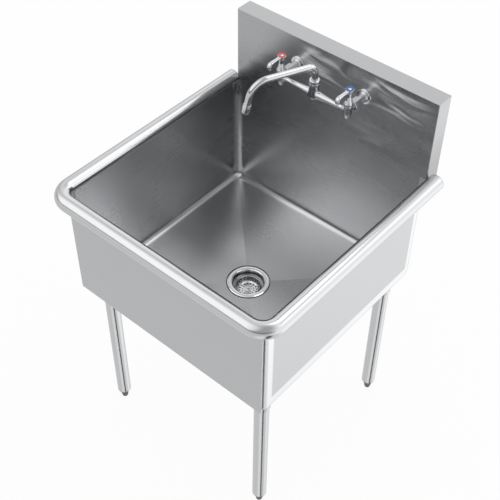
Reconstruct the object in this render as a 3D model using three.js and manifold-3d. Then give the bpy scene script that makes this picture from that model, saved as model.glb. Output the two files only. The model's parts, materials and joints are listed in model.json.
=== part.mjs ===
// Freestanding utility laundry sink: one stainless bowl with a splashback and a rolled rim,
// four tubular legs on levelling feet, a basket strainer with its tailpiece, and a
// wall-mounted two-lever bridge faucet with a swing spout.
// Millimetres, +Z up, front towards -Y. The pieces are placed from the front face of the
// splashback (y = 0) and the floor (z = 0); the outermost group centres the whole on the
// origin.
import * as THREE from 'three';
import { mergeVertices } from 'three/addons/utils/BufferGeometryUtils.js';
import Module from 'manifold-3d';

const wasm = await Module();
wasm.setup();

// ---------------------------------------------------------------- driving dimensions
const sheet = 1.2;                 // stainless sheet of bowl, rim, apron and splashback
const fit = 0.3;                   // clearance between pieces that touch

// bowl
const bowlInsideWidth = 613;
const bowlInsideLength = 611;
const floorHeight = 487;           // inside floor at the walls, above the ground
const floorFall = 6.5;             // drop of the floor from the walls to the drain seat
const wallCornerRadius = 24;       // upright corners, inside
const floorCoveRadius = 19;        // wall-to-floor cove, inside
const leastCornerRadius = 1;       // where the cove would use a corner's radius up

// rolled rim
const rimHeight = 838;             // top of the roll above the ground
const rollRadius = 21;
const rollOverhang = 70;           // degrees the roll turns down past its outermost point
const rimRunPast = 12;             // side rims run this far behind the splashback face

// front apron
const apronInset = 1;              // its ends in from the bowl's inside walls
const apronRise = 11;              // its lower edge above the bowl's floor
const apronDrop = 2;               // its upper edge below the middle of the roll

// splashback
const splashInset = 1;             // its ends in from the bowl's inside walls
const splashRise = 204;            // its top above the top of the roll
const splashReturn = 50;           // depth of the top and side returns
const splashLip = 12;              // inward lip along the rear of the returns
const returnDrop = 41;             // side returns run this far below the middle of the roll

// legs, their corner plates, sockets and feet
const legRadius = 19;
const legWall = 1.5;
const legInsetX = 44.7;            // leg axis in from the bowl's outer side
const legFrontInset = 54;          // front leg axis behind the bowl's outer front
const legBackInset = 55;           // back leg axis in front of the splashback face
const legTopGap = 4.5;             // top of the leg below its corner plate
const gussetLength = 100;
const gussetThickness = 3;
const gussetInset = 2.5;           // plate edge in from the bowl's outer faces
const gussetNoseRadius = 18;
const socketWall = 2.5;
const socketLength = 48;
const setScrewRadius = 3;
const setScrewLength = 7;
const insertFlange = 5.7;
const insertTaper = 4;              // its flange's lower edge in from the leg's outside
const insertLength = 26;
const footStemRadius = 6;
const footStemLength = 46;
const footHexAcross = 22;
const footHexHeight = 11;
const footBodyHeight = 16;
const footTipRadius = 7;
const footTravelUp = 2;            // free thread between the foot's hexagon and the insert

// basket strainer and tailpiece
const drainHoleRadius = 44.5;
const flangeRadius = 56.5;
const flangeThickness = 1.8;
const seatMargin = 3.5;            // flat seat in the floor round the strainer's flange
const cupWall = 1.4;
const cupDepth = 50;
const outletWall = 3;
const outletLength = 24;
const gasketThickness = 3;
const gasketMargin = 0.5;          // gasket past the strainer's flange
const slipWasherThickness = 1.2;
const lockNutMargin = 2;           // lock nut's lugs past the gasket
const lockNutHeight = 12;
const lockNutLugs = 8;
const basketClearance = 6;         // basket's rim to the cup's wall
const basketDepth = 19;
const basketTaper = 6.5;           // basket's floor radius less than its rim's
const basketWall = 1.2;
const basketHoles = 12;
const basketHoleRadius = 3;
const basketStep = 13;             // basket rim below the floor seat
const knobRadius = 7.5;
const knobPostRadius = 3;
const stopperRadius = 24;
const stopperDepth = 4;
const tailRadius = 19.05;
const tailWall = 1.2;
const tailLength = 150;
const tailFlange = 2;
const tailWasherThickness = 1.5;
const couplingNutWall = 6.5;
const couplingNutHeight = 22;
const couplingNutLip = 3;

// faucet
const valveSpacing = 206;          // between the two valve axes
const valveStandOff = 67;          // valve and hub axes in front of the splashback face
const inletRise = 129.5;           // inlet axes above the top of the roll
const cartridgeRadius = 7;
const barrelWall = 3.6;
const barrelRise = 12.5;           // top of the barrels above the inlet axes
const barrelDrop = 27.5;           // tip of the barrels below the inlet axes
const hubRise = 24.5;              // shoulder of the hub above the inlet axes
const hubDrop = 17;                // tip of the hub below the inlet axes
const hubThreadWall = 2.7;
const hubThreadHeight = 7;
const hubShoulder = 1.4;
const hubFlare = 3.4;              // foot of the hub past its shoulder
const armHubRadius = 10.4;
const armValveRadius = 6;
const armDrop = 4;                 // arm axes below the inlet axes
const stemRadius = 4;
const bonnetRise = 34;             // top of the bonnet above the barrel
const bonnetBaseStep = 1;          // bonnet's base past the barrel
const bonnetNeckWall = 1.5;
const handleRise = 12;             // top of the handle above the bonnet
const handleHubRadius = 10.6;
const handleHubHeight = 5;
const handleReach = 53;
const handleWidth = 12;
const indexRim = 1;                // handle hub's rim round the index disc
const indexThickness = 1.6;
const spoutRadius = 8;
const spoutWall = 1.3;
const spoutRise = 51.5;            // axis of the level run above the hub's shoulder
const spoutRiserBend = 20;
const spoutRun = 125.7;            // level run from the hub to where the end bend starts
const spoutEndBend = 50;
const spoutEndTurn = 78;           // degrees the end bends down
const spoutEndLength = 18.8;
const spoutSwing = 24;             // degrees to the left of straight ahead, at rest
const spoutTailDepth = 20;         // spout tail below the shoulder of the hub
const collarWall = 3;
const collarHeight = 13;
const aeratorWall = 1.7;
const aeratorLength = 22.5;
const aeratorBore = 6;
const unionNutWall = 1.6;
const unionNutLength = 25.5;
const unionNutLip = 2;
const unionNutGap = 4.8;           // union nut behind the barrel
const shankRadius = 9.6;
const shankBore = 7;
const shankCollar = 1;             // shank's collar past its thread
const shankLength = 42;            // shank behind the splashback face
const wallFlangeRadius = 20.5;
const wallFlangeDepth = 24;
const wallFlangeNeckWall = 1.7;
const backNutWall = 5.4;
const backNutThickness = 8;

const round = 24;                  // segments of a large turned piece
const medium = 18;                 // segments of a middling one
const fine = 14;                   // segments of a small one

// ---------------------------------------------------------------- derived dimensions
const halfInside = bowlInsideWidth / 2;
const halfOutside = halfInside + sheet;
const bowlMiddle = -bowlInsideLength / 2;
const bowlFront = -bowlInsideLength - sheet;
const drainSeat = floorHeight - floorFall;
const drainSeatRadius = flangeRadius + seatMargin;
const rollCentre = rimHeight - rollRadius;
const bowlTop = rollCentre;
const frontReach = bowlInsideLength + 2 * rollRadius;
const apronHalf = halfInside - apronInset;
const splashHalf = halfInside - splashInset;
const splashTop = rimHeight + splashRise;

// The floor falls by this much over the corner plates.
const plateDrop = (floorFall * 0.65 * gussetLength) / halfInside;
const plateUnder = floorHeight - sheet - plateDrop - fit - gussetThickness;
const legX = halfOutside - legInsetX;
const legFrontY = bowlFront + legFrontInset;
const legTop = plateUnder - legTopGap;
const footHexTop = footBodyHeight + footHexHeight;
const insertBottom = footHexTop + footTravelUp;
const legBottom = insertBottom + insertFlange + fit;

const outletRadius = tailRadius + 1.5 * fit;
const inletHeight = rimHeight + inletRise;
const barrelRadius = cartridgeRadius + fit + barrelWall;
const barrelTop = inletHeight + barrelRise;
const hubTop = inletHeight + hubRise;
const hubThreadRadius = spoutRadius + fit + hubThreadWall;
const hubRadius = hubThreadRadius + hubShoulder;
const bonnetTop = barrelTop + bonnetRise;
const handleTop = bonnetTop + handleRise;
const handleUnder = handleTop - handleHubHeight;
const stemTop = handleTop - indexThickness / 2 - 0.7;
const indexRadius = handleHubRadius - indexRim;
const shankCollarRadius = shankRadius + shankCollar;
const unionNutFront = -valveStandOff + barrelRadius + unionNutGap;
const unionNutEnd = unionNutFront + unionNutLength;

// ---------------------------------------------------------------- materials
const finish = (color, metalness, roughness) =>
  new THREE.MeshStandardMaterial({ color, metalness, roughness });
const brushedSteel = finish(0xc3c5c8, 1, 0.34);
const chrome = finish(0xe2e4e6, 1, 0.08);
const zincPlate = finish(0x9fa3a6, 1, 0.42);
const blackRubber = finish(0x1f2022, 0, 0.8);
const whiteWasher = finish(0xd9d8d2, 0, 0.6);
const footGrey = finish(0x4b4e52, 0.6, 0.45);
const hotRed = finish(0xd4454b, 0, 0.4);
const coldBlue = finish(0x2f63ad, 0, 0.4);

// ---------------------------------------------------------------- shape helpers
// Welds coincident corners, drops collapsed faces and turns the faces outward.
function weld(geometry) {
  geometry.deleteAttribute('normal');
  geometry.deleteAttribute('uv');
  const source = geometry.index ? geometry : mergeVertices(geometry, 1e-4);
  const welded = mergeVertices(source, 1e-4);
  const corners = welded.index.array;
  const kept = [];
  for (let i = 0; i < corners.length; i += 3) {
    const [a, b, c] = [corners[i], corners[i + 1], corners[i + 2]];
    if (a !== b && b !== c && c !== a) kept.push(a, b, c);
  }
  if (signedVolume(welded.attributes.position, kept) < 0) kept.reverse();
  welded.setIndex(kept);
  return welded;
}

function signedVolume(position, corners) {
  const [a, b, c] = [new THREE.Vector3(), new THREE.Vector3(), new THREE.Vector3()];
  let volume = 0;
  for (let i = 0; i < corners.length; i += 3) {
    a.fromBufferAttribute(position, corners[i]);
    b.fromBufferAttribute(position, corners[i + 1]);
    c.fromBufferAttribute(position, corners[i + 2]);
    volume += a.dot(b.cross(c)) / 6;
  }
  return volume;
}

function solid(geometry) {
  const welded = weld(geometry);
  return new wasm.Manifold(new wasm.Mesh({
    numProp: 3,
    vertProperties: new Float32Array(welded.attributes.position.array),
    triVerts: new Uint32Array(welded.index.array),
  }));
}

function geometryOf(manifold) {
  const mesh = manifold.getMesh();
  const geometry = new THREE.BufferGeometry();
  geometry.setAttribute('position', new THREE.BufferAttribute(mesh.vertProperties, 3));
  geometry.setIndex(new THREE.BufferAttribute(mesh.triVerts, 1));
  return geometry;
}

const joined = (...geometries) =>
  geometryOf(geometries.map(solid).reduce((whole, next) => whole.add(next)));

const cut = (geometry, ...tools) =>
  geometryOf(tools.map(solid).reduce((whole, next) => whole.subtract(next), solid(geometry)));

// A box from its lowest to its highest corner.
function block(low, high) {
  const box = new THREE.BoxGeometry(1, 1, 1);
  const { array } = box.attributes.position;
  array.forEach((value, i) => {
    array[i] = value < 0 ? low[i % 3] : high[i % 3];
  });
  return box;
}

// A turned piece about the Z axis, from [radius, height] points; closes on itself.
function turned(points, segments = round) {
  const loop = points.map(([radius, height]) => new THREE.Vector2(radius, height));
  if (points[0][0] > 0) loop.push(loop[0].clone());
  return new THREE.LatheGeometry(loop, segments).rotateX(Math.PI / 2);
}

const tube = (outer, inner, low, high, segments = round) =>
  turned([[inner, low], [outer, low], [outer, high], [inner, high]], segments);

const rod = (radius, low, high, segments = round) =>
  turned([[0, low], [radius, low], [radius, high], [0, high]], segments);

// A hexagonal prism about the Z axis.
const hexagon = (across, low, high) =>
  rod(across / Math.sqrt(3), low, high, 6);

// Turns a piece made about the Z axis so that its top points to +Y.
const alongY = (geometry) => geometry.rotateX(-Math.PI / 2);

// Joins rings of equally many points into one closed skin. A tube of rings closes on its
// first ring; otherwise the two end rings are filled.
function skin(rings, endless) {
  const count = rings[0].length;
  const points = rings.flat();
  const corners = [];
  const spans = endless ? rings.length : rings.length - 1;
  for (let r = 0; r < spans; r++) {
    const here = r * count;
    const there = ((r + 1) % rings.length) * count;
    for (let i = 0; i < count; i++) {
      const j = (i + 1) % count;
      corners.push(here + i, here + j, there + j, here + i, there + j, there + i);
    }
  }
  if (!endless) {
    const face = THREE.ShapeUtils.triangulateShape(endOutline(rings[0]), []);
    const last = (rings.length - 1) * count;
    for (const [a, b, c] of face) corners.push(c, b, a, last + a, last + b, last + c);
  }
  const geometry = new THREE.BufferGeometry();
  geometry.setAttribute('position', new THREE.Float32BufferAttribute(points.flat(), 3));
  geometry.setIndex(corners);
  return geometry;
}

// The outline of a planar ring in its own plane, for filling it.
function endOutline(ring) {
  const points = ring.map((p) => new THREE.Vector3(...p));
  const across = points[1].clone().sub(points[0]).normalize();
  const normal = new THREE.Vector3();
  for (let i = 0; i < points.length; i++) {
    normal.add(points[i].clone().cross(points[(i + 1) % points.length]));
  }
  const up = normal.normalize().clone().cross(across);
  return points.map((p) => new THREE.Vector2(p.dot(across), p.dot(up)));
}

// ---------------------------------------------------------------- the assembly
const group = new THREE.Group();
const sink = new THREE.Group();
sink.position.y = (frontReach - splashReturn) / 2;
group.add(sink);

function piece(name, geometry, material, parent = sink) {
  const mesh = new THREE.Mesh(weld(geometry), material);
  mesh.name = name;
  parent.add(mesh);
  return mesh;
}

// ---------------------------------------------------------------- bowl
// One level of the bowl: a rounded rectangle grown outward by `grow`.
function bowlLevel(grow, radiusFront, radiusBack, height) {
  const half = halfInside + grow;
  const front = -bowlInsideLength - grow;
  const corners = [
    [half, grow, radiusBack, 0], [-half, grow, radiusBack, 90],
    [-half, front, radiusFront, 180], [half, front, radiusFront, 270],
  ];
  const arcSteps = 4;
  const sideSteps = 3;
  const ring = [];
  corners.forEach(([x, y, radius, start], index) => {
    const centre = [x - Math.sign(x) * radius, y - (index < 2 ? 1 : -1) * radius];
    for (let i = 0; i <= arcSteps; i++) {
      const angle = THREE.MathUtils.degToRad(start + (90 * i) / arcSteps);
      ring.push([centre[0] + radius * Math.cos(angle), centre[1] + radius * Math.sin(angle), height]);
    }
  });
  const perCorner = arcSteps + 1;
  const full = [];
  for (let c = 0; c < 4; c++) {
    const arc = ring.slice(c * perCorner, (c + 1) * perCorner);
    const next = ring[((c + 1) * perCorner) % ring.length];
    const last = arc[arcSteps];
    full.push(...arc);
    for (let i = 1; i < sideSteps; i++) {
      full.push(last.map((value, axis) => value + ((next[axis] - value) * i) / sideSteps));
    }
  }
  return full;
}

// A circle about the drain, with a point in the direction of each point of `ring`.
function drainCircle(ring, radius, height) {
  return ring.map(([x, y]) => {
    const angle = Math.atan2(y - bowlMiddle, x);
    return [radius * Math.cos(angle), bowlMiddle + radius * Math.sin(angle), height];
  });
}

// The rings of one side of the sheet, from the wall's foot down to the drain seat.
function bowlSkin(grow) {
  const wallRadius = wallCornerRadius + grow;
  const cove = floorCoveRadius + grow;
  const bottom = floorHeight - grow;
  const coveSteps = 4;
  const rings = [];
  for (let i = 0; i <= coveSteps; i++) {
    const angle = (Math.PI / 2) * (i / coveSteps);
    const inset = cove * (1 - Math.cos(angle));
    const height = bottom + cove * (1 - Math.sin(angle));
    const corner = Math.max(wallRadius - inset, leastCornerRadius);
    rings.push(bowlLevel(grow - inset, corner, corner, height));
  }
  rings.push(drainCircle(rings[coveSteps], drainSeatRadius, bottom - floorFall));
  return rings;
}

// The sheet keeps its rounded corners up to the rim, except that small webs fill the two
// back corners at the top, under the splashback.
function bowlShell() {
  const radius = wallCornerRadius;
  const inside = [bowlLevel(0, radius, radius, bowlTop), ...bowlSkin(0)];
  const outside = [
    bowlLevel(sheet, radius + sheet, 2 * sheet, bowlTop),
    bowlLevel(sheet, radius + sheet, 2 * sheet, bowlTop - sheet),
    bowlLevel(sheet, radius + sheet, radius + sheet, bowlTop - 1.01 * sheet),
    ...bowlSkin(sheet),
  ];
  const pan = skin([...inside.reverse(), ...outside], false);
  const drainHole = rod(drainHoleRadius, drainSeat - 2 * sheet, drainSeat + sheet);
  return cut(pan, drainHole.translate(0, bowlMiddle, 0));
}
piece('bowl_shell', bowlShell(), brushedSteel);

const apronBack = bowlFront - fit;
piece('front_apron', block(
  [-apronHalf, apronBack - sheet, floorHeight + apronRise],
  [apronHalf, apronBack, bowlTop - apronDrop],
), brushedSteel);

// ---------------------------------------------------------------- rolled rim
// An arc of the roll's section, from the bowl's wall over the top to the overhanging lip:
// [out from the bowl's inside face, height].
function rollArc(radius) {
  const steps = 11;
  const start = 180 - THREE.MathUtils.radToDeg(fit / rollRadius);
  return Array.from({ length: steps + 1 }, (_, i) => {
    const angle = THREE.MathUtils.degToRad(start - ((start + rollOverhang) * i) / steps);
    return [rollRadius + radius * Math.cos(angle), rollCentre + radius * Math.sin(angle)];
  });
}
const rollSection = [...rollArc(rollRadius), ...rollArc(rollRadius - sheet).reverse()];

// Carries the section along stations, each a point on the bowl's inside face with the
// direction outward from it.
const roll = (stations) => skin(stations.map(({ at, out }) =>
  rollSection.map(([away, height]) => [at[0] + out[0] * away, at[1] + out[1] * away, height])), false);

function rimCornerStations(side) {
  const steps = 6;
  const centre = [side * (halfInside - wallCornerRadius), -bowlInsideLength + wallCornerRadius];
  return Array.from({ length: steps + 1 }, (_, i) => {
    const angle = (Math.PI / 2) * (i / steps);
    const out = [side * Math.cos(angle), -Math.sin(angle)];
    return { at: [centre[0] + wallCornerRadius * out[0], centre[1] + wallCornerRadius * out[1]], out };
  });
}
const frontStations = [...rimCornerStations(-1), ...rimCornerStations(1).reverse()];
piece('rim_front', roll(frontStations), brushedSteel);

const rimSideFront = -bowlInsideLength + wallCornerRadius + fit;
for (const [side, hand] of [[-1, 'left'], [1, 'right']]) {
  const stations = [rimSideFront, rimRunPast].map((y) => ({ at: [side * halfInside, y], out: [side, 0] }));
  piece(`rim_${hand}`, roll(stations), brushedSteel);

  // The cap fills the open end of the roll, flush with its rear edge.
  const capOutline = rollArc(rollRadius - sheet - fit);
  const capFaces = [rimRunPast - sheet, rimRunPast].map((y) =>
    capOutline.map(([away, height]) => [side * (halfInside + away), y, height]));
  piece(`rim_cap_${hand}`, skin(capFaces, false), brushedSteel);
}

// ---------------------------------------------------------------- splashback
// One folded sheet: front face, top and side returns, and a lip along their rear edges.
// The front face stands on the bowl's rear wall and the side returns run down behind it.
function splashback() {
  const half = splashHalf;
  const past = 1;
  const bottom = bowlTop - returnDrop;
  const below = bottom - past;
  const envelope = block([-half, 0, bottom], [half, splashReturn, splashTop]);
  const bowlRoom = block([-half - past, -past, below], [half + past, sheet + fit, bowlTop + fit]);
  const hollow = block(
    [-half + sheet, sheet, below],
    [half - sheet, splashReturn - sheet, splashTop - sheet],
  );
  const rear = block(
    [-half + splashLip, splashReturn / 2, below],
    [half - splashLip, splashReturn + past, splashTop - splashLip],
  );
  const holes = [-1, 1].map((side) =>
    alongY(rod(shankRadius + 3 * fit, -splashReturn / 4, splashReturn / 4, fine))
      .translate((side * valveSpacing) / 2, 0, inletHeight));
  return cut(envelope, bowlRoom, hollow, rear, ...holes);
}
piece('splashback', splashback(), brushedSteel);

// ---------------------------------------------------------------- legs
const corners = [
  ['front_left', -1, legFrontY, -1], ['front_right', 1, legFrontY, -1],
  ['back_left', -1, -legBackInset, 1], ['back_right', 1, -legBackInset, 1],
];
const socketRadius = legRadius + fit + socketWall;
const screwHeight = plateUnder - socketLength / 2;

// A triangular corner plate with a rounded nose, in the corner where x and y are greatest.
function cornerPlate() {
  const far = gussetLength;
  const nose = gussetNoseRadius;
  const outline = new THREE.Shape();
  outline.moveTo(-far, 0);
  outline.lineTo(-nose, 0);
  outline.absarc(-nose, -nose, nose, Math.PI / 2, 0, true);
  outline.lineTo(0, -far);
  outline.lineTo(-far / 4, -far);
  outline.lineTo(-far, -far / 4);
  const settings = { depth: gussetThickness, bevelEnabled: false, curveSegments: 5 };
  return new THREE.ExtrudeGeometry(outline, settings);
}

for (const [corner, side, legY, end] of corners) {
  const legPlace = new THREE.Vector3(side * legX, legY, 0);
  const atLeg = (geometry) => geometry.translate(legPlace.x, legPlace.y, 0);
  const plateY = end < 0 ? bowlFront + gussetInset : sheet - gussetInset;
  const plate = cornerPlate().scale(side, end, 1)
    .translate(side * (halfOutside - gussetInset), plateY, plateUnder);

  // The set screw stands on the side of the socket that faces the middle of the sink.
  const inward = Math.atan2(bowlMiddle - legY, -side * legX);
  const radial = (radius, from, to) =>
    rod(radius, from, to, fine).rotateY(Math.PI / 2).rotateZ(inward).translate(0, 0, screwHeight);
  const socket = tube(socketRadius, legRadius + fit, plateUnder - socketLength, plateUnder + 1);
  const tapped = radial(setScrewRadius + fit, legRadius, socketRadius + 1);
  piece(`corner_bracket_${corner}`, cut(joined(plate, atLeg(socket)), atLeg(tapped)), brushedSteel);
  const screw = radial(setScrewRadius, legRadius + fit, legRadius + fit + setScrewLength);
  piece(`set_screw_${corner}`, screw, zincPlate).position.copy(legPlace);

  const legBore = legRadius - legWall;
  piece(`leg_${corner}`, tube(legRadius, legBore, legBottom, legTop), brushedSteel).position.copy(legPlace);

  const stemBore = footStemRadius + fit;
  const insertRadius = legBore - fit;
  const flangeTop = insertBottom + insertFlange;
  piece(`foot_insert_${corner}`, turned([
    [stemBore, insertBottom], [legRadius - insertTaper, insertBottom], [legRadius, flangeTop - 1],
    [legRadius, flangeTop],
    [insertRadius, flangeTop], [insertRadius, flangeTop + insertLength - 1],
    [insertRadius - 1, flangeTop + insertLength], [stemBore, flangeTop + insertLength],
  ], fine), zincPlate).position.copy(legPlace);

  const body = turned([
    [0, 0], [footTipRadius, 0], [footTipRadius + 1.5, 1], [footHexAcross / 2 - 0.5, footBodyHeight],
    [footHexAcross / 2 - 0.5, footBodyHeight + 1], [0, footBodyHeight + 1],
  ], medium);
  const stem = rod(footStemRadius, footBodyHeight, footHexTop + footStemLength, fine);
  const foot = joined(body, hexagon(footHexAcross, footBodyHeight, footHexTop), stem);
  piece(`foot_${corner}`, foot, footGrey).position.copy(legPlace);
}

// ---------------------------------------------------------------- basket strainer
const drain = new THREE.Group();
drain.position.set(0, bowlMiddle, drainSeat);
sink.add(drain);

const cupRadius = drainHoleRadius - 2 * fit;
const cupInside = cupRadius - cupWall;
const cupBottom = -cupDepth;
const outletBottom = cupBottom - outletLength;
const neckRadius = outletRadius + outletWall;
const basketRimRadius = cupInside - basketClearance;
const basketFloorRadius = basketRimRadius - basketTaper;
piece('strainer_body', turned([
  [outletRadius, outletBottom], [neckRadius, outletBottom], [neckRadius, cupBottom - cupWall],
  [cupRadius - 8, cupBottom - cupWall], [cupRadius, cupBottom + 8], [cupRadius, fit],
  [flangeRadius, fit], [flangeRadius - 1, fit + flangeThickness * 0.7],
  [flangeRadius - 4, fit + flangeThickness], [cupInside + 2, fit + flangeThickness],
  [cupInside, fit + flangeThickness - 2], [cupInside - 1, -basketStep - 1],
  [basketRimRadius - 2, -basketStep - 2], [basketRimRadius - 4, cupBottom + 8],
  [cupInside - 12, cupBottom], [outletRadius, cupBottom],
]), brushedSteel, drain);

const gasketRadius = flangeRadius + gasketMargin;
const lockNutRadius = gasketRadius + lockNutMargin;
const gasketTop = -sheet - fit;
const washerTop = gasketTop - gasketThickness - fit;
const nutTop = washerTop - slipWasherThickness - fit;
const nutBore = cupRadius + fit;
const gasket = tube(gasketRadius, nutBore, gasketTop - gasketThickness, gasketTop);
piece('strainer_gasket', gasket, blackRubber, drain);
const slipWasher = tube(gasketRadius - 1, nutBore, washerTop - slipWasherThickness, washerTop);
piece('slip_washer', slipWasher, whiteWasher, drain);

// The lock nut: a flanged ring with lugs round its rim.
function lockNut() {
  const ring = turned([
    [nutBore, nutTop - lockNutHeight], [lockNutRadius - 8, nutTop - lockNutHeight],
    [lockNutRadius - 7, nutTop - 4], [lockNutRadius - 4, nutTop - 3], [lockNutRadius - 4, nutTop],
    [nutBore, nutTop],
  ]);
  const lugs = Array.from({ length: lockNutLugs }, (_, i) =>
    block([lockNutRadius - 10, -4, nutTop - lockNutHeight + 2], [lockNutRadius, 4, nutTop])
      .rotateZ((2 * Math.PI * i) / lockNutLugs));
  return joined(ring, ...lugs);
}
piece('strainer_lock_nut', lockNut(), zincPlate, drain);

// The lift-out basket: a perforated cup with a turned-out rim.
const basketRim = -basketStep;
const basketFloor = basketRim - basketDepth;
function basket() {
  const cup = turned([
    [0, basketFloor], [basketFloorRadius - 3, basketFloor], [basketFloorRadius, basketFloor + 3],
    [basketRimRadius - 3, basketRim - 1.5], [basketRimRadius, basketRim - 1],
    [basketRimRadius, basketRim + 0.6],
    [basketRimRadius - 3 - basketWall, basketRim + 0.2], [basketFloorRadius - basketWall, basketFloor + 4],
    [basketFloorRadius - 4, basketFloor + basketWall], [0, basketFloor + basketWall],
  ]);
  const post = rod(knobPostRadius + fit, basketFloor - 2, basketFloor + 5, fine);
  const holes = Array.from({ length: basketHoles }, (_, i) =>
    rod(basketHoleRadius, basketFloor - 2, basketFloor + 5, 6)
      .translate(basketFloorRadius * 0.62, 0, 0).rotateZ((2 * Math.PI * i) / basketHoles));
  return cut(cup, post, ...holes);
}
piece('strainer_basket', basket(), brushedSteel, drain);

// The knob's post goes through the basket and the stopper below it.
const stopperTop = basketFloor - fit;
const postBottom = stopperTop - stopperDepth - 6;
const knobTop = basketFloor + 14;
piece('basket_knob', turned([
  [0, postBottom], [knobPostRadius, postBottom], [knobPostRadius, basketFloor + basketWall + fit],
  [knobPostRadius + 1.2, basketFloor + basketWall + fit], [knobPostRadius + 1.2, knobTop - 5],
  [knobRadius - 1, knobTop - 4], [knobRadius, knobTop - 2],
  [knobRadius - 1.5, knobTop], [0, knobTop],
], fine), chrome, drain);
piece('basket_stopper', turned([
  [knobPostRadius + fit, stopperTop - stopperDepth], [stopperRadius - 5, stopperTop - stopperDepth],
  [stopperRadius, stopperTop - 1], [stopperRadius, stopperTop], [knobPostRadius + fit, stopperTop],
]), blackRubber, drain);

// Tailpiece, its washer and the coupling nut that draws it up to the outlet neck.
const tailWasherTop = outletBottom - fit;
const tailWasherBottom = tailWasherTop - tailWasherThickness;
const tailWasher = tube(neckRadius, outletRadius, tailWasherBottom, tailWasherTop, fine);
piece('tailpiece_washer', tailWasher, whiteWasher, drain);
const tailTop = tailWasherBottom - fit;
piece('tailpiece', turned([
  [tailRadius - tailWall, tailTop - tailLength], [tailRadius, tailTop - tailLength],
  [tailRadius, tailTop - tailFlange], [neckRadius, tailTop - tailFlange], [neckRadius, tailTop],
  [tailRadius - tailWall, tailTop],
]), chrome, drain);
const couplingNutRadius = neckRadius + couplingNutWall;
const couplingBottom = tailTop - tailFlange - fit - couplingNutLip;
piece('coupling_nut', turned([
  [tailRadius + fit, couplingBottom], [couplingNutRadius - 3, couplingBottom],
  [couplingNutRadius, couplingBottom + 3], [couplingNutRadius, couplingBottom + couplingNutHeight - 3],
  [couplingNutRadius - 2, couplingBottom + couplingNutHeight],
  [neckRadius + fit, couplingBottom + couplingNutHeight],
  [neckRadius + fit, couplingBottom + couplingNutLip], [tailRadius + fit, couplingBottom + couplingNutLip],
]), chrome, drain);

// ---------------------------------------------------------------- faucet body
const valveX = valveSpacing / 2;
const armHeight = inletHeight - armDrop;
const inletStubRadius = shankCollarRadius - 2;
const inletStubEnd = unionNutFront + 2 * unionNutLip;

// A tapered arm from the hub towards +X, ending inside the valve barrel.
function bridgeArm() {
  const arm = new THREE.CylinderGeometry(armValveRadius, armHubRadius, valveX, fine);
  return arm.rotateZ(-Math.PI / 2).translate(valveX / 2, 0, armHeight);
}

// The casting: hub, two arms, two barrels with rounded tips and the inlet stubs, bored for
// the spout tail and the valve cartridges.
function faucetBody() {
  const hubTip = inletHeight - hubDrop;
  const barrelTip = inletHeight - barrelDrop;
  const hubFoot = hubRadius + hubFlare;
  const hubPost = turned([
    [0, hubTip], [hubFoot - 5, hubTip + 1], [hubFoot, hubTip + 7], [hubFoot - 0.6, hubTip + 12],
    [hubRadius, hubTop - 4], [hubRadius, hubTop],
    [hubThreadRadius, hubTop], [hubThreadRadius, hubTop + hubThreadHeight], [0, hubTop + hubThreadHeight],
  ]);
  const parts = [hubPost];
  const bores = [rod(spoutRadius + fit, hubTop - spoutTailDepth - fit, hubTop + 2 * hubThreadHeight, fine)];
  for (const side of [-1, 1]) {
    parts.push(bridgeArm().rotateZ(side < 0 ? Math.PI : 0));
    parts.push(turned([
      [0, barrelTip], [barrelRadius * 0.45, barrelTip + 2], [barrelRadius, barrelTip + 13],
      [barrelRadius, barrelTop], [0, barrelTop],
    ], medium).translate(side * valveX, 0, 0));
    parts.push(alongY(rod(inletStubRadius, 0, valveStandOff + inletStubEnd, fine))
      .translate(side * valveX, 0, inletHeight));
    bores.push(rod(cartridgeRadius + fit, inletHeight - 6, barrelTop + 1, fine)
      .translate(side * valveX, 0, 0));
    bores.push(alongY(rod(shankBore, 0, valveStandOff, fine)).translate(side * valveX, 0, inletHeight));
  }
  return cut(joined(...parts), ...bores).translate(0, -valveStandOff, 0);
}
piece('faucet_body', faucetBody(), chrome);

// ---------------------------------------------------------------- spout
const swivel = new THREE.Group();
swivel.position.set(0, -valveStandOff, hubTop);
swivel.rotation.z = -THREE.MathUtils.degToRad(spoutSwing);
sink.add(swivel);

// The spout's line in its own frame: up from the tail, over, ahead to -Y and down.
function spoutLine(extra) {
  const line = new THREE.CurvePath();
  const rise = spoutRise;
  const at = (ahead, height) => new THREE.Vector3(0, -ahead, height);
  const bend = (centreAhead, centreHeight, radius, from, to) => {
    const curve = new THREE.Curve();
    curve.getPoint = (t, target = new THREE.Vector3()) => {
      const angle = THREE.MathUtils.degToRad(from + (to - from) * t);
      const ahead = centreAhead + radius * Math.cos(angle);
      return target.set(0, -ahead, centreHeight + radius * Math.sin(angle));
    };
    return curve;
  };
  const turn = THREE.MathUtils.degToRad(90 - spoutEndTurn);
  const bendEnd = [spoutRun + spoutEndBend * Math.cos(turn), rise - spoutEndBend * (1 - Math.sin(turn))];
  const tip = [bendEnd[0] + extra * Math.sin(turn), bendEnd[1] - extra * Math.cos(turn)];
  line.add(new THREE.LineCurve3(at(0, -spoutTailDepth), at(0, rise - spoutRiserBend)));
  line.add(bend(spoutRiserBend, rise - spoutRiserBend, spoutRiserBend, 180, 90));
  line.add(new THREE.LineCurve3(at(spoutRiserBend, rise), at(spoutRun, rise)));
  line.add(bend(spoutRun, rise - spoutEndBend, spoutEndBend, 90, 90 - spoutEndTurn));
  line.add(new THREE.LineCurve3(at(...bendEnd), at(...tip)));
  return line;
}

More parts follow.
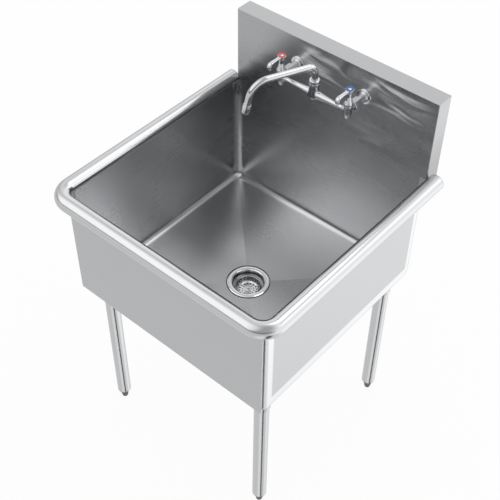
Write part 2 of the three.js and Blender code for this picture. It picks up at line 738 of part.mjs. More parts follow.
// Carries a ring-shaped section along the line: straight stretches take one step.
function spoutTube() {
  const sides = 14;
  const end = spoutEndLength + aeratorLength / 2 - 1;
  const stations = [];
  for (const stretch of spoutLine(end).curves) {
    const steps = stretch.isLineCurve3 ? 1 : 6;
    for (let i = stations.length ? 1 : 0; i <= steps; i++) {
      stations.push({ at: stretch.getPoint(i / steps), along: stretch.getTangent(i / steps) });
    }
  }
  const side = new THREE.Vector3(1, 0, 0);
  const ring = ({ at, along }, radius) => Array.from({ length: sides }, (_, i) => {
    const angle = (2 * Math.PI * i) / sides;
    const up = side.clone().cross(along);
    return at.clone().addScaledVector(side, radius * Math.cos(angle))
      .addScaledVector(up, radius * Math.sin(angle)).toArray();
  });
  const outside = stations.map((station) => ring(station, spoutRadius));
  const inside = stations.map((station) => ring(station, spoutRadius - spoutWall));
  return skin([...outside, ...inside.reverse()], true);
}
piece('spout', spoutTube(), chrome, swivel);

const aeratorRadius = spoutRadius + fit + aeratorWall;
const endTurn = THREE.MathUtils.degToRad(spoutEndTurn);
const aeratorStart = spoutLine(spoutEndLength).getPoint(1);
const aerator = turned([
  [aeratorBore, 0], [aeratorRadius - 1, 0], [aeratorRadius, 1], [aeratorRadius, aeratorLength - 1],
  [aeratorRadius - 0.8, aeratorLength], [spoutRadius + fit, aeratorLength],
  [spoutRadius + fit, aeratorLength / 2], [aeratorBore, aeratorLength / 2],
], medium).translate(0, 0, -aeratorLength);
aerator.rotateX(-(Math.PI / 2 - endTurn));
aerator.translate(aeratorStart.x, aeratorStart.y, aeratorStart.z);
piece('aerator', aerator, chrome, swivel);

const collarRadius = hubThreadRadius + collarWall;
const collarBottom = hubTop + fit;
const collarStep = hubTop + hubThreadHeight + fit;
piece('spout_collar_nut', turned([
  [hubThreadRadius + fit, collarBottom], [collarRadius - 1, collarBottom], [collarRadius, collarBottom + 1],
  [collarRadius, collarBottom + collarHeight - 2], [collarRadius - 2, collarBottom + collarHeight],
  [spoutRadius + fit, collarBottom + collarHeight],
  [spoutRadius + fit, collarStep], [hubThreadRadius + fit, collarStep],
], medium).translate(0, -valveStandOff, 0), chrome);

// ---------------------------------------------------------------- valves and handles
const unionNutAcross = 2 * (shankCollarRadius + fit + unionNutWall);
const backNutAcross = 2 * (shankRadius + fit + backNutWall);
const bonnetBaseRadius = barrelRadius + bonnetBaseStep;
const bonnetNeckRadius = stemRadius + fit + bonnetNeckWall;

// The lever in its side view, ahead of the valve axis: it leaves the hub level, arches
// down and ends in a drooped tip, with a short nose behind the axis.
function leverBlade() {
  const outline = new THREE.Shape();
  outline.moveTo(-12, handleTop - 3.4);
  outline.lineTo(-10, handleTop);
  outline.lineTo(handleReach * 0.45, handleTop + 0.6);
  outline.quadraticCurveTo(handleReach * 0.82, handleTop - 0.4, handleReach, handleTop - 7);
  outline.quadraticCurveTo(handleReach + 1, handleTop - 13, handleReach - 8, handleTop - 20);
  outline.quadraticCurveTo(handleReach - 9, handleTop - 10, handleReach * 0.55, handleTop - 6.4);
  outline.lineTo(6, handleUnder);
  outline.lineTo(-10, handleUnder);
  const settings = { depth: handleWidth, bevelEnabled: false, curveSegments: 6 };
  const blade = new THREE.ExtrudeGeometry(outline, settings);
  return blade.translate(0, 0, -handleWidth / 2).rotateX(Math.PI / 2).rotateZ(-Math.PI / 2);
}

for (const [side, hand, colour] of [[-1, 'hot', hotRed], [1, 'cold', coldBlue]]) {
  const valve = new THREE.Group();
  valve.position.set(side * valveX, -valveStandOff, 0);
  sink.add(valve);

  const bonnetBottom = barrelTop + fit;
  piece(`bonnet_${hand}`, turned([
    [stemRadius + fit, bonnetBottom], [bonnetBaseRadius, bonnetBottom], [bonnetBaseRadius, bonnetBottom + 6],
    [bonnetBaseRadius - 2, bonnetBottom + 8], [bonnetNeckRadius + 2, bonnetTop - 11],
    [bonnetNeckRadius, bonnetTop - 5], [bonnetNeckRadius, bonnetTop], [stemRadius + fit, bonnetTop],
  ], medium), chrome, valve);
  piece(`valve_stem_${hand}`, turned([
    [0, inletHeight - 5], [cartridgeRadius, inletHeight - 5], [cartridgeRadius, barrelTop - 1],
    [stemRadius, barrelTop - 1], [stemRadius, stemTop], [0, stemTop],
  ], fine), chrome, valve);

  const disc = turned([
    [0, handleUnder], [handleHubRadius - 3, handleUnder], [handleHubRadius, handleUnder + 3],
    [handleHubRadius, handleTop], [0, handleTop],
  ], medium);
  const neck = rod(bonnetNeckRadius, handleUnder - 4, handleUnder + 1, fine);
  const broach = rod(stemRadius + fit, handleUnder - 6, stemTop + fit, fine);
  const recess = rod(indexRadius + fit, handleTop - indexThickness / 2, handleTop + 5, medium);
  piece(`lever_handle_${hand}`, cut(joined(disc, neck, leverBlade()), broach, recess), chrome, valve);
  const indexBottom = handleTop - indexThickness / 2 + fit;
  piece(`index_disc_${hand}`, turned([
    [0, indexBottom], [indexRadius, indexBottom], [indexRadius, indexBottom + indexThickness],
    [indexRadius - 0.6, indexBottom + indexThickness + 0.4], [0, indexBottom + indexThickness + 0.4],
  ], medium), colour, valve);

  // Inlet: union nut on the stub, shank through the splashback, flange against it.
  const inlet = new THREE.Group();
  inlet.position.set(side * valveX, 0, inletHeight);
  sink.add(inlet);
  const shankFront = inletStubEnd + fit;
  const nutBoreRadius = shankCollarRadius + fit;
  const unionNut = cut(
    hexagon(unionNutAcross, unionNutFront, unionNutEnd),
    rod(inletStubRadius + fit, unionNutFront - 1, shankFront, fine),
    rod(nutBoreRadius, unionNutFront + unionNutLip, unionNutEnd + 1, fine),
  );
  piece(`union_nut_${hand}`, alongY(unionNut), chrome, inlet);
  const flangeFront = -wallFlangeDepth - fit;
  const flangeNeck = shankRadius + fit + wallFlangeNeckWall;
  piece(`inlet_shank_${hand}`, alongY(turned([
    [shankBore, shankFront], [shankCollarRadius, shankFront], [shankCollarRadius, flangeFront - fit],
    [shankRadius, flangeFront - fit], [shankRadius, shankLength], [shankBore, shankLength],
  ], fine)), chrome, inlet);
  piece(`wall_flange_${hand}`, alongY(turned([
    [shankRadius + fit, flangeFront], [flangeNeck, flangeFront], [flangeNeck, -8],
    [flangeNeck + 2, -5.5], [wallFlangeRadius - 1.5, -3.5], [wallFlangeRadius, -2.5],
    [wallFlangeRadius, -fit], [shankRadius + fit, -fit],
  ])), chrome, inlet);
  const backNutFront = sheet + fit;
  const backNut = cut(
    hexagon(backNutAcross, backNutFront, backNutFront + backNutThickness),
    rod(shankRadius + fit, backNutFront - 1, backNutFront + backNutThickness + 1, fine),
  );
  piece(`back_nut_${hand}`, alongY(backNut), zincPlate, inlet);
}

export default group;
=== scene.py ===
"""The finished look of a freestanding stainless utility sink.

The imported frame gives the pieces' places and boxes, and this script their finer profiles. Each
visible piece is a surface worked out with numpy: a profile carried along a path or turned about
an axis, or a shape over two parameters. A few are then joined or cut. Lengths are metres unless
mm() or contour() takes them as millimetres. +Z is up, the front faces -Y and the hot valve is
on -X.
"""
import json
import math

import bmesh
import bpy
import numpy as np
from mathutils import Matrix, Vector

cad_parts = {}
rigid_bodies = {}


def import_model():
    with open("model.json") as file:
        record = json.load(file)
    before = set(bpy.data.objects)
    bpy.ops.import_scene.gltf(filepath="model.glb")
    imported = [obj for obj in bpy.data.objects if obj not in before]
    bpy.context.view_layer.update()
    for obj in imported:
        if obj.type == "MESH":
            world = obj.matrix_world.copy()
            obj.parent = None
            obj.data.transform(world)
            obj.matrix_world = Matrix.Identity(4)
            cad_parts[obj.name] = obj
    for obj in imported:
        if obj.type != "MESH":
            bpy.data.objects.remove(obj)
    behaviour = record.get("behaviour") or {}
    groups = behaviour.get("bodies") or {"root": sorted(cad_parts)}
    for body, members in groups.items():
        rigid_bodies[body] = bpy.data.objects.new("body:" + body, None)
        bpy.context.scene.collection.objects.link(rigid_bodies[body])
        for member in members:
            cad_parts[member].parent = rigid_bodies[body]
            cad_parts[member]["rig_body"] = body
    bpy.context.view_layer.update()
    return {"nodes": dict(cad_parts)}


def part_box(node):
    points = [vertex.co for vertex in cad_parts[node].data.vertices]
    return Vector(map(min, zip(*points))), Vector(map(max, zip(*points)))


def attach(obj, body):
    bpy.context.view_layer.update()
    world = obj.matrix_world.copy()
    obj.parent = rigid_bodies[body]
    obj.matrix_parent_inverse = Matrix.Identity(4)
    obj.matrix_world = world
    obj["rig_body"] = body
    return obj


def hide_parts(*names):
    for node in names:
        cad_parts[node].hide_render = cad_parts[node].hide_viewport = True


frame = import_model()

bl_info = {
    "name": "Utility sink",
    "version": (1, 0, 0),
    "blender": (4, 5, 0),
    "location": "3D View > Sidebar > Utility sink",
    "description": "Builds the finished pieces, materials and studio of a stainless utility sink",
    "category": "Object",
}

TAU = 2 * math.pi
UP, BACKWARD = (0, 0, 1), (0, 1, 0)
CORNERS = ("front_left", "front_right", "back_left", "back_right")
HANDS = ("hot", "cold")


# ------------------------------------------------------------------ places from the frame
def low(node):
    """A node's lowest corner."""
    return np.array(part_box(node)[0])


def high(node):
    """A node's highest corner."""
    return np.array(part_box(node)[1])


def middle(node):
    """The middle of a node's box."""
    return (low(node) + high(node)) / 2


# ------------------------------------------------------------------ settings
def metres(name, description, default, least, most):
    """A length that a user may change."""
    return bpy.props.FloatProperty(name=name, description=description, default=default,
                                   min=least, max=most, unit="LENGTH")


def degrees(name, description, default, least=-180, most=180):
    """An angle that a user may change, given in degrees and kept in radians."""
    return bpy.props.FloatProperty(name=name, description=description,
                                   default=math.radians(default), min=math.radians(least),
                                   max=math.radians(most), subtype="ANGLE")


def tint(name, description, default):
    """A colour that a user may change."""
    return bpy.props.FloatVectorProperty(name=name, description=description, default=default,
                                         min=0, max=1, subtype="COLOR")


class SinkSheetSettings(bpy.types.PropertyGroup):
    """Sizes of the sheet-metal work."""

    thickness: metres("Sheet", "Thickness of the stainless sheet", 0.0012, 0.0005, 0.003)
    bend: metres("Bend", "Outer radius of the splashback's folds", 0.0020, 0.0015, 0.006)
    corner: metres("Bowl corner", "Inside radius of the bowl's upright corners", 0.024, 0.01, 0.06)
    cove: metres("Cove", "Inside radius between the walls and the floor", 0.019, 0.005, 0.022)
    floor_fall: metres("Floor fall", "Drop of the floor from the walls to the drain seat",
                       0.0065, 0.001, 0.01)
    drain_seat: metres("Drain seat", "Radius of the flat seat round the drain", 0.060, 0.05, 0.08)
    drain_hole: metres("Drain hole", "Radius of the hole in the floor", 0.0445, 0.03, 0.05)
    roll: metres("Roll", "Outer radius of the rolled rim", 0.021, 0.01, 0.03)
    overhang: degrees("Overhang", "How far the roll turns down past its outermost line",
                      70, 0, 90)
    lip: metres("Rear lip", "Width of the lip along the splashback's rear", 0.012, 0.005, 0.03)


class SinkFinishSettings(bpy.types.PropertyGroup):
    """Colours and surface of the finishes."""

    steel: tint("Steel", "Colour of the brushed stainless sheet", (0.635, 0.64, 0.65))
    polished: tint("Polished steel", "Colour of the ground and polished weld zones",
                   (0.72, 0.725, 0.735))
    chrome: tint("Chrome", "Colour of the plated faucet", (0.74, 0.75, 0.77))
    zinc: tint("Zinc", "Colour of the zinc-plated nuts and leg inserts", (0.56, 0.57, 0.59))
    rubber: tint("Rubber", "Colour of the gasket, bead and stopper", (0.030, 0.030, 0.032))
    washer: tint("Washer", "Colour of the pale washers", (0.76, 0.75, 0.71))
    foot: tint("Foot", "Colour of the levelling feet", (0.15, 0.155, 0.165))
    hot: tint("Hot index", "Colour of the hot index ring", (0.72, 0.07, 0.07))
    cold: tint("Cold index", "Colour of the cold index ring", (0.03, 0.13, 0.42))
    roughness: bpy.props.FloatProperty(
        name="Steel roughness", description="Mean roughness of the brushed sheet",
        default=0.27, min=0, max=1, subtype="FACTOR")


class SinkStudioSettings(bpy.types.PropertyGroup):
    """Camera and light."""

    lens: bpy.props.FloatProperty(
        name="Lens", description="Focal length in millimetres",
        default=69.756, min=20, max=200, unit="CAMERA")
    azimuth: degrees("Azimuth", "Camera's direction, to the right of the front", 40.38)
    elevation: degrees("Elevation", "Camera's direction above the horizon", 45.78)
    roll: degrees("Roll", "Camera's turn about its own axis", 0.66)
    camera: bpy.props.FloatVectorProperty(
        name="Camera", description="Where the camera stands",
        default=(1.1260, -1.3220, 2.3828), size=3, subtype="TRANSLATION", unit="LENGTH")
    sky: bpy.props.FloatProperty(
        name="Sky", description="Strength of the studio's soft light",
        default=1.0, min=0, max=3)


class SinkSettings(bpy.types.PropertyGroup):
    """All settings of the sink."""

    sheet: bpy.props.PointerProperty(type=SinkSheetSettings)
    finish: bpy.props.PointerProperty(type=SinkFinishSettings)
    studio: bpy.props.PointerProperty(type=SinkStudioSettings)


def settings():
    return bpy.context.scene.utility_sink


# ------------------------------------------------------------------ curves in the plane
def rounded(corners, radii, steps=6):
    """A line through corners with an arc in each of them, as one array of points.

    An arc of radius r touches both sides at r / tan(half the corner's angle) from the corner,
    or at half the shorter side if that is nearer. Its points turn evenly about its centre.
    """
    corners = np.asarray(corners, float)
    radii = np.broadcast_to(np.asarray(radii, float), len(corners))
    back = np.roll(corners, 1, axis=0) - corners
    ahead = np.roll(corners, -1, axis=0) - corners
    back_length = np.linalg.norm(back, axis=1)
    ahead_length = np.linalg.norm(ahead, axis=1)
    u, v = back / back_length[:, None], ahead / ahead_length[:, None]
    half = 0.5 * np.arccos(np.clip((u * v).sum(1), -1 + 1e-9, 1 - 1e-9))
    reach = np.minimum(radii / np.tan(half), 0.49 * np.minimum(back_length, ahead_length))
    middle_line = (u + v) / np.linalg.norm(u + v, axis=1)[:, None]
    centre = corners + middle_line * (reach / np.cos(half))[:, None]
    start = (corners + u * reach[:, None] - centre)[:, None]
    end = (corners + v * reach[:, None] - centre)[:, None]
    turn = np.maximum(math.pi - 2 * half, 1e-6)[:, None, None]
    share = np.linspace(0, 1, steps + 1)[None, :, None]
    arc = (np.sin((1 - share) * turn) * start + np.sin(share * turn) * end) / np.sin(turn)
    return (centre[:, None] + arc).reshape(-1, corners.shape[1])


def mm(*points):
    """Points given in millimetres, as an array in metres."""
    return np.array(points, float) / 1000


def contour(steps, *corners):
    """A line through corners of (radius, height, radius of its arc), given in millimetres."""
    corners = mm(*corners)
    return rounded(corners[:, :2], corners[:, 2], steps)


def smooth_step(value, start, end):
    """0 before start, 1 after end and 3t² - 2t³ between, where t is the share of the way."""
    share = np.clip((value - start) / (end - start), 0, 1)
    return share * share * (3 - 2 * share)


def rounded_rectangle(half_x, half_y, centre_y, radii, corner_steps=12, side_steps=20):
    """A rectangle with a quarter circle in each corner, anticlockwise from the right side.

    radii has one value for each of the corners back right, back left, front left and front
    right. Every rectangle made with the same steps has as many points, side for side.
    """
    sign_x = np.array([1, -1, -1, 1])
    sign_y = np.array([1, 1, -1, -1])
    radii = np.broadcast_to(np.asarray(radii, float), 4)
    centres = np.stack([sign_x * (half_x - radii), centre_y + sign_y * (half_y - radii)], 1)
    angle = (np.arange(4)[:, None] + np.linspace(0, 1, corner_steps + 1)) * math.pi / 2
    ray = np.stack([np.cos(angle), np.sin(angle)], -1)
    arcs = centres[:, None] + radii[:, None, None] * ray
    share = np.linspace(0, 1, side_steps + 1)[1:-1, None]
    first, last = np.roll(arcs, -1, axis=0)[:, 0], arcs[:, -1]
    sides = last[:, None] * (1 - share) + first[:, None] * share
    return np.concatenate([arcs, sides], axis=1).reshape(-1, 2)


# ------------------------------------------------------------------ surfaces
def lattice(rows, columns, close_rows=False, close_columns=False):
    """Quads between neighbours of a grid; a closed direction joins its last line to its first."""
    r = np.arange(rows if close_rows else rows - 1)
    c = np.arange(columns if close_columns else columns - 1)
    here, side = np.meshgrid(r, c, indexing="ij")
    below, beside = (here + 1) % rows, (side + 1) % columns
    return np.stack([here * columns + side, here * columns + beside,
                     below * columns + beside, below * columns + side], -1).reshape(-1, 4)


def skin(grid, close_rows=False, close_columns=False, cap_rows=False):
    """A grid of points as a shell: (points, faces), with its open ends filled if asked."""
    rows, columns = grid.shape[:2]
    index = np.arange(rows * columns).reshape(rows, columns)
    faces = [lattice(rows, columns, close_rows, close_columns)]
    if cap_rows:
        faces += [index[:1], index[-1:]]
    return grid.reshape(-1, 3), faces


def turned(profile, at, axis=UP, closed=False, segments=96, shape=None):
    """A profile of (radius, height) turned about a line through `at` along `axis`.

    A point at radius r and height h goes to r cos a along one side, r sin a along the other
    and h along the axis, for every angle a. `shape` works out r from radius, height and angle
    for pieces that aren't round. A closed profile joins its last point to its first; an open
    one ends on the axis.
    """
    axis = np.asarray(axis, float)
    first = np.array([1.0, 0.0, 0.0]) if abs(axis[0]) < 0.9 else np.array([0.0, 0.0, 1.0])
    second = np.cross(axis, first)
    second /= np.linalg.norm(second)
    first = np.cross(second, axis)
    angle = np.arange(segments) * TAU / segments
    radius, height = np.asarray(profile, float).T[..., None]
    radius, height = radius + 0 * angle, height + 0 * angle
    if shape is not None:
        radius = shape(radius, height, angle)
    grid = ((radius * np.cos(angle))[..., None] * first
            + (radius * np.sin(angle))[..., None] * second + height[..., None] * axis)
    return skin(grid + np.asarray(at, float), closed, True)


def swept(section, origins, across, up):
    """A section of (a, b) points carried along a path, its ends filled.

    At a station with origin o, the point goes to o + a * across + b * up.
    """
    section = np.asarray(section, float)
    grid = (origins[:, None] + section[None, :, :1] * across[:, None]
            + section[None, :, 1:] * up[:, None])
    return skin(grid, False, True, cap_rows=True)


def grown(outline, amount):
    """A closed outline moved outward by an amount along the mean of its sides' normals."""
    ahead = np.roll(outline, -1, axis=0) - outline
    ahead /= np.linalg.norm(ahead, axis=1)[:, None]
    back = np.roll(ahead, 1, axis=0)
    normal = np.stack([ahead[:, 1] + back[:, 1], -ahead[:, 0] - back[:, 0]], 1)
    scale = 2 / np.maximum((normal ** 2).sum(1), 0.2)
    area = 0.5 * np.sum(outline[:, 0] * np.roll(outline[:, 1], -1)
                        - np.roll(outline[:, 0], -1) * outline[:, 1])
    return outline + np.sign(area) * amount * normal * scale[:, None]


def plate(outline, bottom, top, edge, place, steps=4):
    """A flat plate: an outline between two heights, its edges rounded by a quarter circle.

    Ring k of an edge is moved in by edge * (1 - sin t) and lies edge * (1 - cos t) from the
    face's level. `place` turns (u, v, height) arrays into points.
    """
    turn = np.linspace(0, math.pi / 2, steps + 1)
    inset = edge * (1 - np.sin(turn))
    rise = edge * (1 - np.cos(turn))
    levels = np.concatenate([bottom + rise, top - rise[::-1]])
    insets = np.concatenate([inset, inset[::-1]])
    rings = np.stack([grown(outline, -amount) for amount in insets])
    u, v = rings[..., 0], rings[..., 1]
    return skin(place(u, v, levels[:, None] + 0 * u), False, True, cap_rows=True)


def upright(u, v, height):
    return np.stack([u, v, height], -1)


# ------------------------------------------------------------------ meshes and pieces
def mesh_of(name, shells, weld=2e-6):
    """One mesh of several shells: corners welded, faces turned outward shell by shell."""
    points, loops, starts, corner_count, point_count = [], [], [], 0, 0
    for shell_points, faces in shells:
        for block in faces:
            loops.append((block + point_count).ravel())
            starts.append(corner_count + np.arange(len(block)) * block.shape[1])
            corner_count += block.size
        points.append(shell_points)
        point_count += len(shell_points)
    mesh = bpy.data.meshes.new(name)
    mesh.vertices.add(point_count)
    mesh.vertices.foreach_set("co", np.concatenate(points).astype(np.float32).ravel())
    mesh.loops.add(corner_count)
    mesh.loops.foreach_set("vertex_index", np.concatenate(loops).astype(np.int32))
    starts = np.concatenate(starts).astype(np.int32)
    mesh.polygons.add(len(starts))
    mesh.polygons.foreach_set("loop_start", starts)
    mesh.update(calc_edges=True)
    clean = bmesh.new()
    clean.from_mesh(mesh)
    bmesh.ops.remove_doubles(clean, verts=clean.verts, dist=weld)
    bmesh.ops.dissolve_degenerate(clean, edges=clean.edges, dist=weld / 2)
    bmesh.ops.recalc_face_normals(clean, faces=clean.faces)
    clean.to_mesh(mesh)
    clean.free()
    return mesh


def carved(name, mesh, tools, operation):
    """The mesh joined with tools ("UNION") or cut by them ("DIFFERENCE"), one by one.

    A tool is a list of shells that don't touch each other.
    """
    work = bpy.data.objects.new(name + "_work", mesh)
    bpy.context.scene.collection.objects.link(work)
    helpers = []
    for number, shells in enumerate(tools):
        helper = bpy.data.objects.new(f"{name}_tool_{number}", mesh_of(f"{name}_tool", shells))
        bpy.context.scene.collection.objects.link(helper)
        step = work.modifiers.new(f"step_{number}", "BOOLEAN")
        step.operation = operation
        step.solver = "EXACT"
        step.object = helper
        helpers.append(helper)
    graph = bpy.context.evaluated_depsgraph_get()
    result = bpy.data.meshes.new_from_object(work.evaluated_get(graph))
    for spare in [work, *helpers]:
        bpy.data.objects.remove(spare)
    return result


def make(node, shape, finish, sharp=32, name=None, body=None):
    """A finished piece that stands for a CAD node, or one of its own name and body.

    `shape` is a list of shells or a mesh. The piece rides on the node's body, shades smooth
    up to the `sharp` angle in degrees and keeps its flat faces flat.
    """
    name = name or f"fine_{node}"
    mesh = mesh_of(name, shape) if isinstance(shape, list) else shape
    mesh.name = name
    mesh.shade_smooth()
    mesh.set_sharp_from_angle(angle=math.radians(sharp))
    piece = bpy.data.objects.new(name, mesh)
    bpy.context.scene.collection.objects.link(piece)
    flat = piece.modifiers.new("flat_faces", "WEIGHTED_NORMAL")
    flat.keep_sharp = True
    coat, record_slot = FINISHES[finish]()
    mesh.materials.clear()
    mesh.materials.append(coat)
    if node:
        body = frame["nodes"][node]["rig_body"]
        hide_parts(node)
    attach(piece, body)
    return piece


# ------------------------------------------------------------------ shader expressions
class Wire:
    """A value in a node tree; an expression on wires adds the Math nodes that work it out."""

    def __init__(self, shader, socket):
        self.shader, self.socket = shader, socket

    def __add__(self, other):
        return self.shader.math("ADD", self, other)

    def __sub__(self, other):
        return self.shader.math("SUBTRACT", self, other)

    def __rsub__(self, other):
        return self.shader.math("SUBTRACT", other, self)

    def __mul__(self, other):
        return self.shader.math("MULTIPLY", self, other)

    __radd__ = __add__
    __rmul__ = __mul__

    def outputs(self):
        """All outputs of the node that this wire comes from."""
        return [Wire(self.shader, socket) for socket in self.socket.node.outputs]


class Shader:
    """The node tree of a material or world, cleared and then filled by expressions."""

    def __init__(self, owner):
        owner.use_nodes = True
        self.nodes, self.links = owner.node_tree.nodes, owner.node_tree.links
        self.nodes.clear()

    def node(self, kind, settings=None, sockets=None, output=0):
        """A node of a kind, with its settings and then the values or links of its sockets."""
        node = self.nodes.new("ShaderNode" + kind)
        for key, value in (settings or {}).items():
            setattr(node, key, value)
        for key, value in (sockets or {}).items():
            socket = node.inputs[key]
            if isinstance(value, Wire):
                self.links.new(value.socket, socket)
            elif socket.type == "RGBA":
                socket.default_value = (*value, 1.0)
            else:
                socket.default_value = value
        return Wire(self, node.outputs[output]) if node.outputs else None

    def math(self, operation, *values):
        return self.node("Math", {"operation": operation}, dict(enumerate(values)))

    def vector(self, operation, *values):
        return self.node("VectorMath", {"operation": operation}, dict(enumerate(values)))

    def colour(self, factor, first, second, blend="MIX"):
        """Two colours mixed by a factor."""
        return self.node("Mix", {"data_type": "RGBA", "blend_type": blend},
                         {0: factor, 6: first, 7: second}, output=2)

    def step(self, value, start, end):
        """0 before start and 1 after end, smooth between; it falls if start is above end."""
        return self.node("MapRange", {"interpolation_type": "SMOOTHSTEP"},
                         {0: value, 1: start, 2: end})

    def band(self, value, start, full, fading, end):
        """0 before start and after end, 1 from full to fading, smooth between."""
        return self.step(value, start, full) * self.step(value, end, fading)

    def noise(self, place, stretch, detail):
        """Noise about 0.5 in a space stretched by so many lumps per metre each way."""
        scaled = self.vector("MULTIPLY", place, stretch)
        return self.node("TexNoise", {}, {"Vector": scaled, "Scale": 1.0, "Detail": detail})

    def place(self):
        return self.node("TexCoord", output="Object")

    def absolute(self, value):
        """A value without its sign."""
        return self.math("ABSOLUTE", value)

    def parts(self, vector):
        """A vector's x, y and z."""
        return self.node("SeparateXYZ", {}, {0: vector}).outputs()

    def grey(self, value):
        return self.node("CombineColor", {}, {0: value, 1: value, 2: value})

    def tinted(self, base, shade):
        """A colour made lighter or darker by a shade about 1."""
        return self.colour(1.0, base, self.grey(shade), "MULTIPLY")

    def bump(self, height, distance):
        return self.node("Bump", {}, {"Height": height, "Distance": distance, "Strength": 1.0})

    def surface(self, **sockets):
        """A Principled shader as the material's surface; underscores stand for spaces."""
        named = {key.replace("_", " "): value for key, value in sockets.items()}
        shader = self.node("BsdfPrincipled", {}, named)
        self.node("OutputMaterial", {}, {"Surface": shader})


def between(share, first, second):
    """The first value where the share is 1 and the second where it is 0."""
    return share * first + (1 - share) * second


def material(name, fill):
    """The material of a name, made and filled the first time that it is asked for."""
    found = bpy.data.materials.get(name)
    if found is None:
        found = bpy.data.materials.new(name)
        fill(Shader(found))
    return found


# ------------------------------------------------------------------ finishes
def steel_sheet(grain, polish=0.0, zones=None, waves=(3.5, 3.5, 3.5), depth=0.0008, shades=None,
                glare=None):
    """Brushed stainless: fine scratches along the grain, soft clouds and slight waviness.

    `grain` is the scratches' density each way, low along them. `zones` works out, from the
    place, how far a spot lies in a ground and polished zone, which is also painted lighter as a
    highlight, `shades` how light it's painted and `glare` how far painted streaks of light
    cover it.
    """
    def fill(shader):
        finish = settings().finish
        place = shader.place()
        scratches = shader.noise(place, grain, detail=3) - 0.5
        coarse_grain = [lines * 0.16 for lines in grain]
        streaks = shader.noise(place, coarse_grain, detail=2) - 0.5
        clouds = shader.noise(place, (5, 5, 5), detail=1) - 0.5
        shade = 1 + scratches * 0.014 + streaks * 0.006 + clouds * 0.03
        if shades is not None:
            shade = shade * shades(shader, place)
        rough = (finish.roughness - polish * 0.09 + streaks * 0.004 + scratches * 0.014
                 + clouds * 0.04)
        steel = finish.steel[:]
        bright = finish.polished[:]
        if zones is None:
            base = [a * (1 - polish) + b * polish for a, b in zip(steel, bright)]
        else:
            inside = zones(shader, place)
            # Ground zones: polished, and painted lighter still as a highlight.
            base = shader.colour(inside, steel, [min(1.0, c * 1.3) for c in bright])
            rough = rough - inside * 0.06
        colour = shader.tinted(base, shade)
        metallic = 1.0
        if glare is not None:
            gleam = glare(shader, place)
            light_streak = (0.9, 0.9, 0.91)
            colour = shader.colour(gleam, colour, light_streak)
            metallic = 1 - gleam * 0.7
        height = shader.noise(place, waves, detail=0) * depth
        shader.surface(Base_Color=colour, Metallic=metallic, Roughness=rough,
                       Normal=shader.bump(height, 1.0))
    return fill


def bowl_plan():
    """The bowl's outer box from above: half its width, half its depth and its middle's y."""
    box_low, box_high = low("bowl_shell"), high("bowl_shell")
    return (float(box_high[0]), float(box_high[1] - box_low[1]) / 2,
            float(box_high[1] + box_low[1]) / 2)


def bowl_zones(shader, place):
    """The ground bands on the bowl's outer sides: along the bottom and up the corners.

    A spot is outside if it lies a corner's outer radius from the line of the corners' centres.
    The bands carry a painted highlight besides their polish.
    """
    x, y, z = shader.parts(place)
    half_width, half_depth, centre = bowl_plan()
    radius = settings().sheet.corner + settings().sheet.thickness
    offset = shader.absolute(y - centre)
    past_x = shader.math("MAXIMUM", shader.absolute(x) - (half_width - radius), 0.0)
    past_y = shader.math("MAXIMUM", offset - (half_depth - radius), 0.0)
    away = shader.math("SQRT", past_x * past_x + past_y * past_y)
    outside = shader.step(away, radius - 0.0009, radius - 0.0005)
    bottom = shader.step(z - float(low("bowl_shell")[2]), 0.054, 0.046)
    corner = shader.step(offset, half_depth - 0.038, half_depth - 0.032)
    return outside * shader.math("MAXIMUM", bottom, corner)


def bowl_shades(shader, place):
    """Painted light and dark: a shade for each of the floor's four faces and for each wall.

    A shade of 1 leaves the steel as it is. A spot lies on a side face if its share of the way
    to the side wall is the larger one. The left wall lightens towards the front, and the back
    wall towards the floor.
    """
    x, y, z = shader.parts(place)
    half_width, half_depth, centre = bowl_plan()
    underside, edge = float(low("bowl_shell")[2]), float(high("bowl_shell")[2])
    u, v = x * (1 / half_width), (y - centre) * (1 / half_depth)
    on_side = shader.step(shader.absolute(u) - shader.absolute(v), -0.006, 0.006)
    on_left, on_rear = shader.step(u, 0.02, -0.02), shader.step(v, -0.02, 0.02)
    left_face = 0.86 + shader.step(v, 0.0, 0.35) * 0.52
    right_face = 0.66 + shader.step(v, 0.25, -0.25) * 0.25
    end_face = 0.88 + on_rear * (0.04 - u * 0.35 + shader.step(v, 0.70, 1.0) * 0.14)
    floor_shade = between(on_side, between(on_left, left_face, right_face), end_face)

    left_wall = shader.step(u, -0.96, -0.985)
    back_wall = shader.step(v, 0.96, 0.985) * (1 - left_wall)
    left_shade = 0.46 + shader.step(v, 0.75, 0.0) * 0.52 + shader.step(v, -0.25, -0.95) * 0.70
    back_shade = 0.65 + shader.step(edge - z, 0.057, 0.237) * 0.30 + u * 0.03
    other_shade = 0.95
    wall_shade = (left_wall * left_shade + back_wall * back_shade
                  + (1 - left_wall - back_wall) * other_shade)
    floor = shader.step(z - underside, 0.020, 0.012)
    return between(floor, floor_shade, wall_shade)


def splash_shades(shader, place):
    """Painted light and dark: the splashback darkens towards the bowl."""
    drop = float(high("splashback")[2]) - shader.parts(place)[2]
    return 0.62 + shader.step(drop, 0.212, 0.052) * 0.20


def splash_gleam(shader, place):
    """Painted wavy streaks of light above the faucet, and fainter ones low on the right.

    They're a noise drawn out along the sheet's front, on heights that another noise bends.
    """
    x, y, z = shader.parts(place)
    bend = shader.noise(place, (11, 1, 11), detail=0)
    bent = shader.node("CombineXYZ", {}, {0: x, 1: 0.0, 2: z + bend * 0.07 + x * 0.06})
    streaks = shader.step(shader.noise(bent, (6, 1, 42), detail=1), 0.44, 0.66)
    drop = float(high("splashback")[2]) - z
    top = shader.band(drop, 0.006, 0.022, 0.067, 0.102) * shader.band(x, -0.12, -0.05, 0.22, 0.31)
    foot = shader.band(drop, 0.137, 0.162, 0.192, 0.207) * shader.step(x, 0.03, 0.10)
    on_face = shader.step(y - float(low("splashback")[1]), 0.0006, 0.0004)
    return streaks * (top * 0.85 + foot * 0.22) * on_face


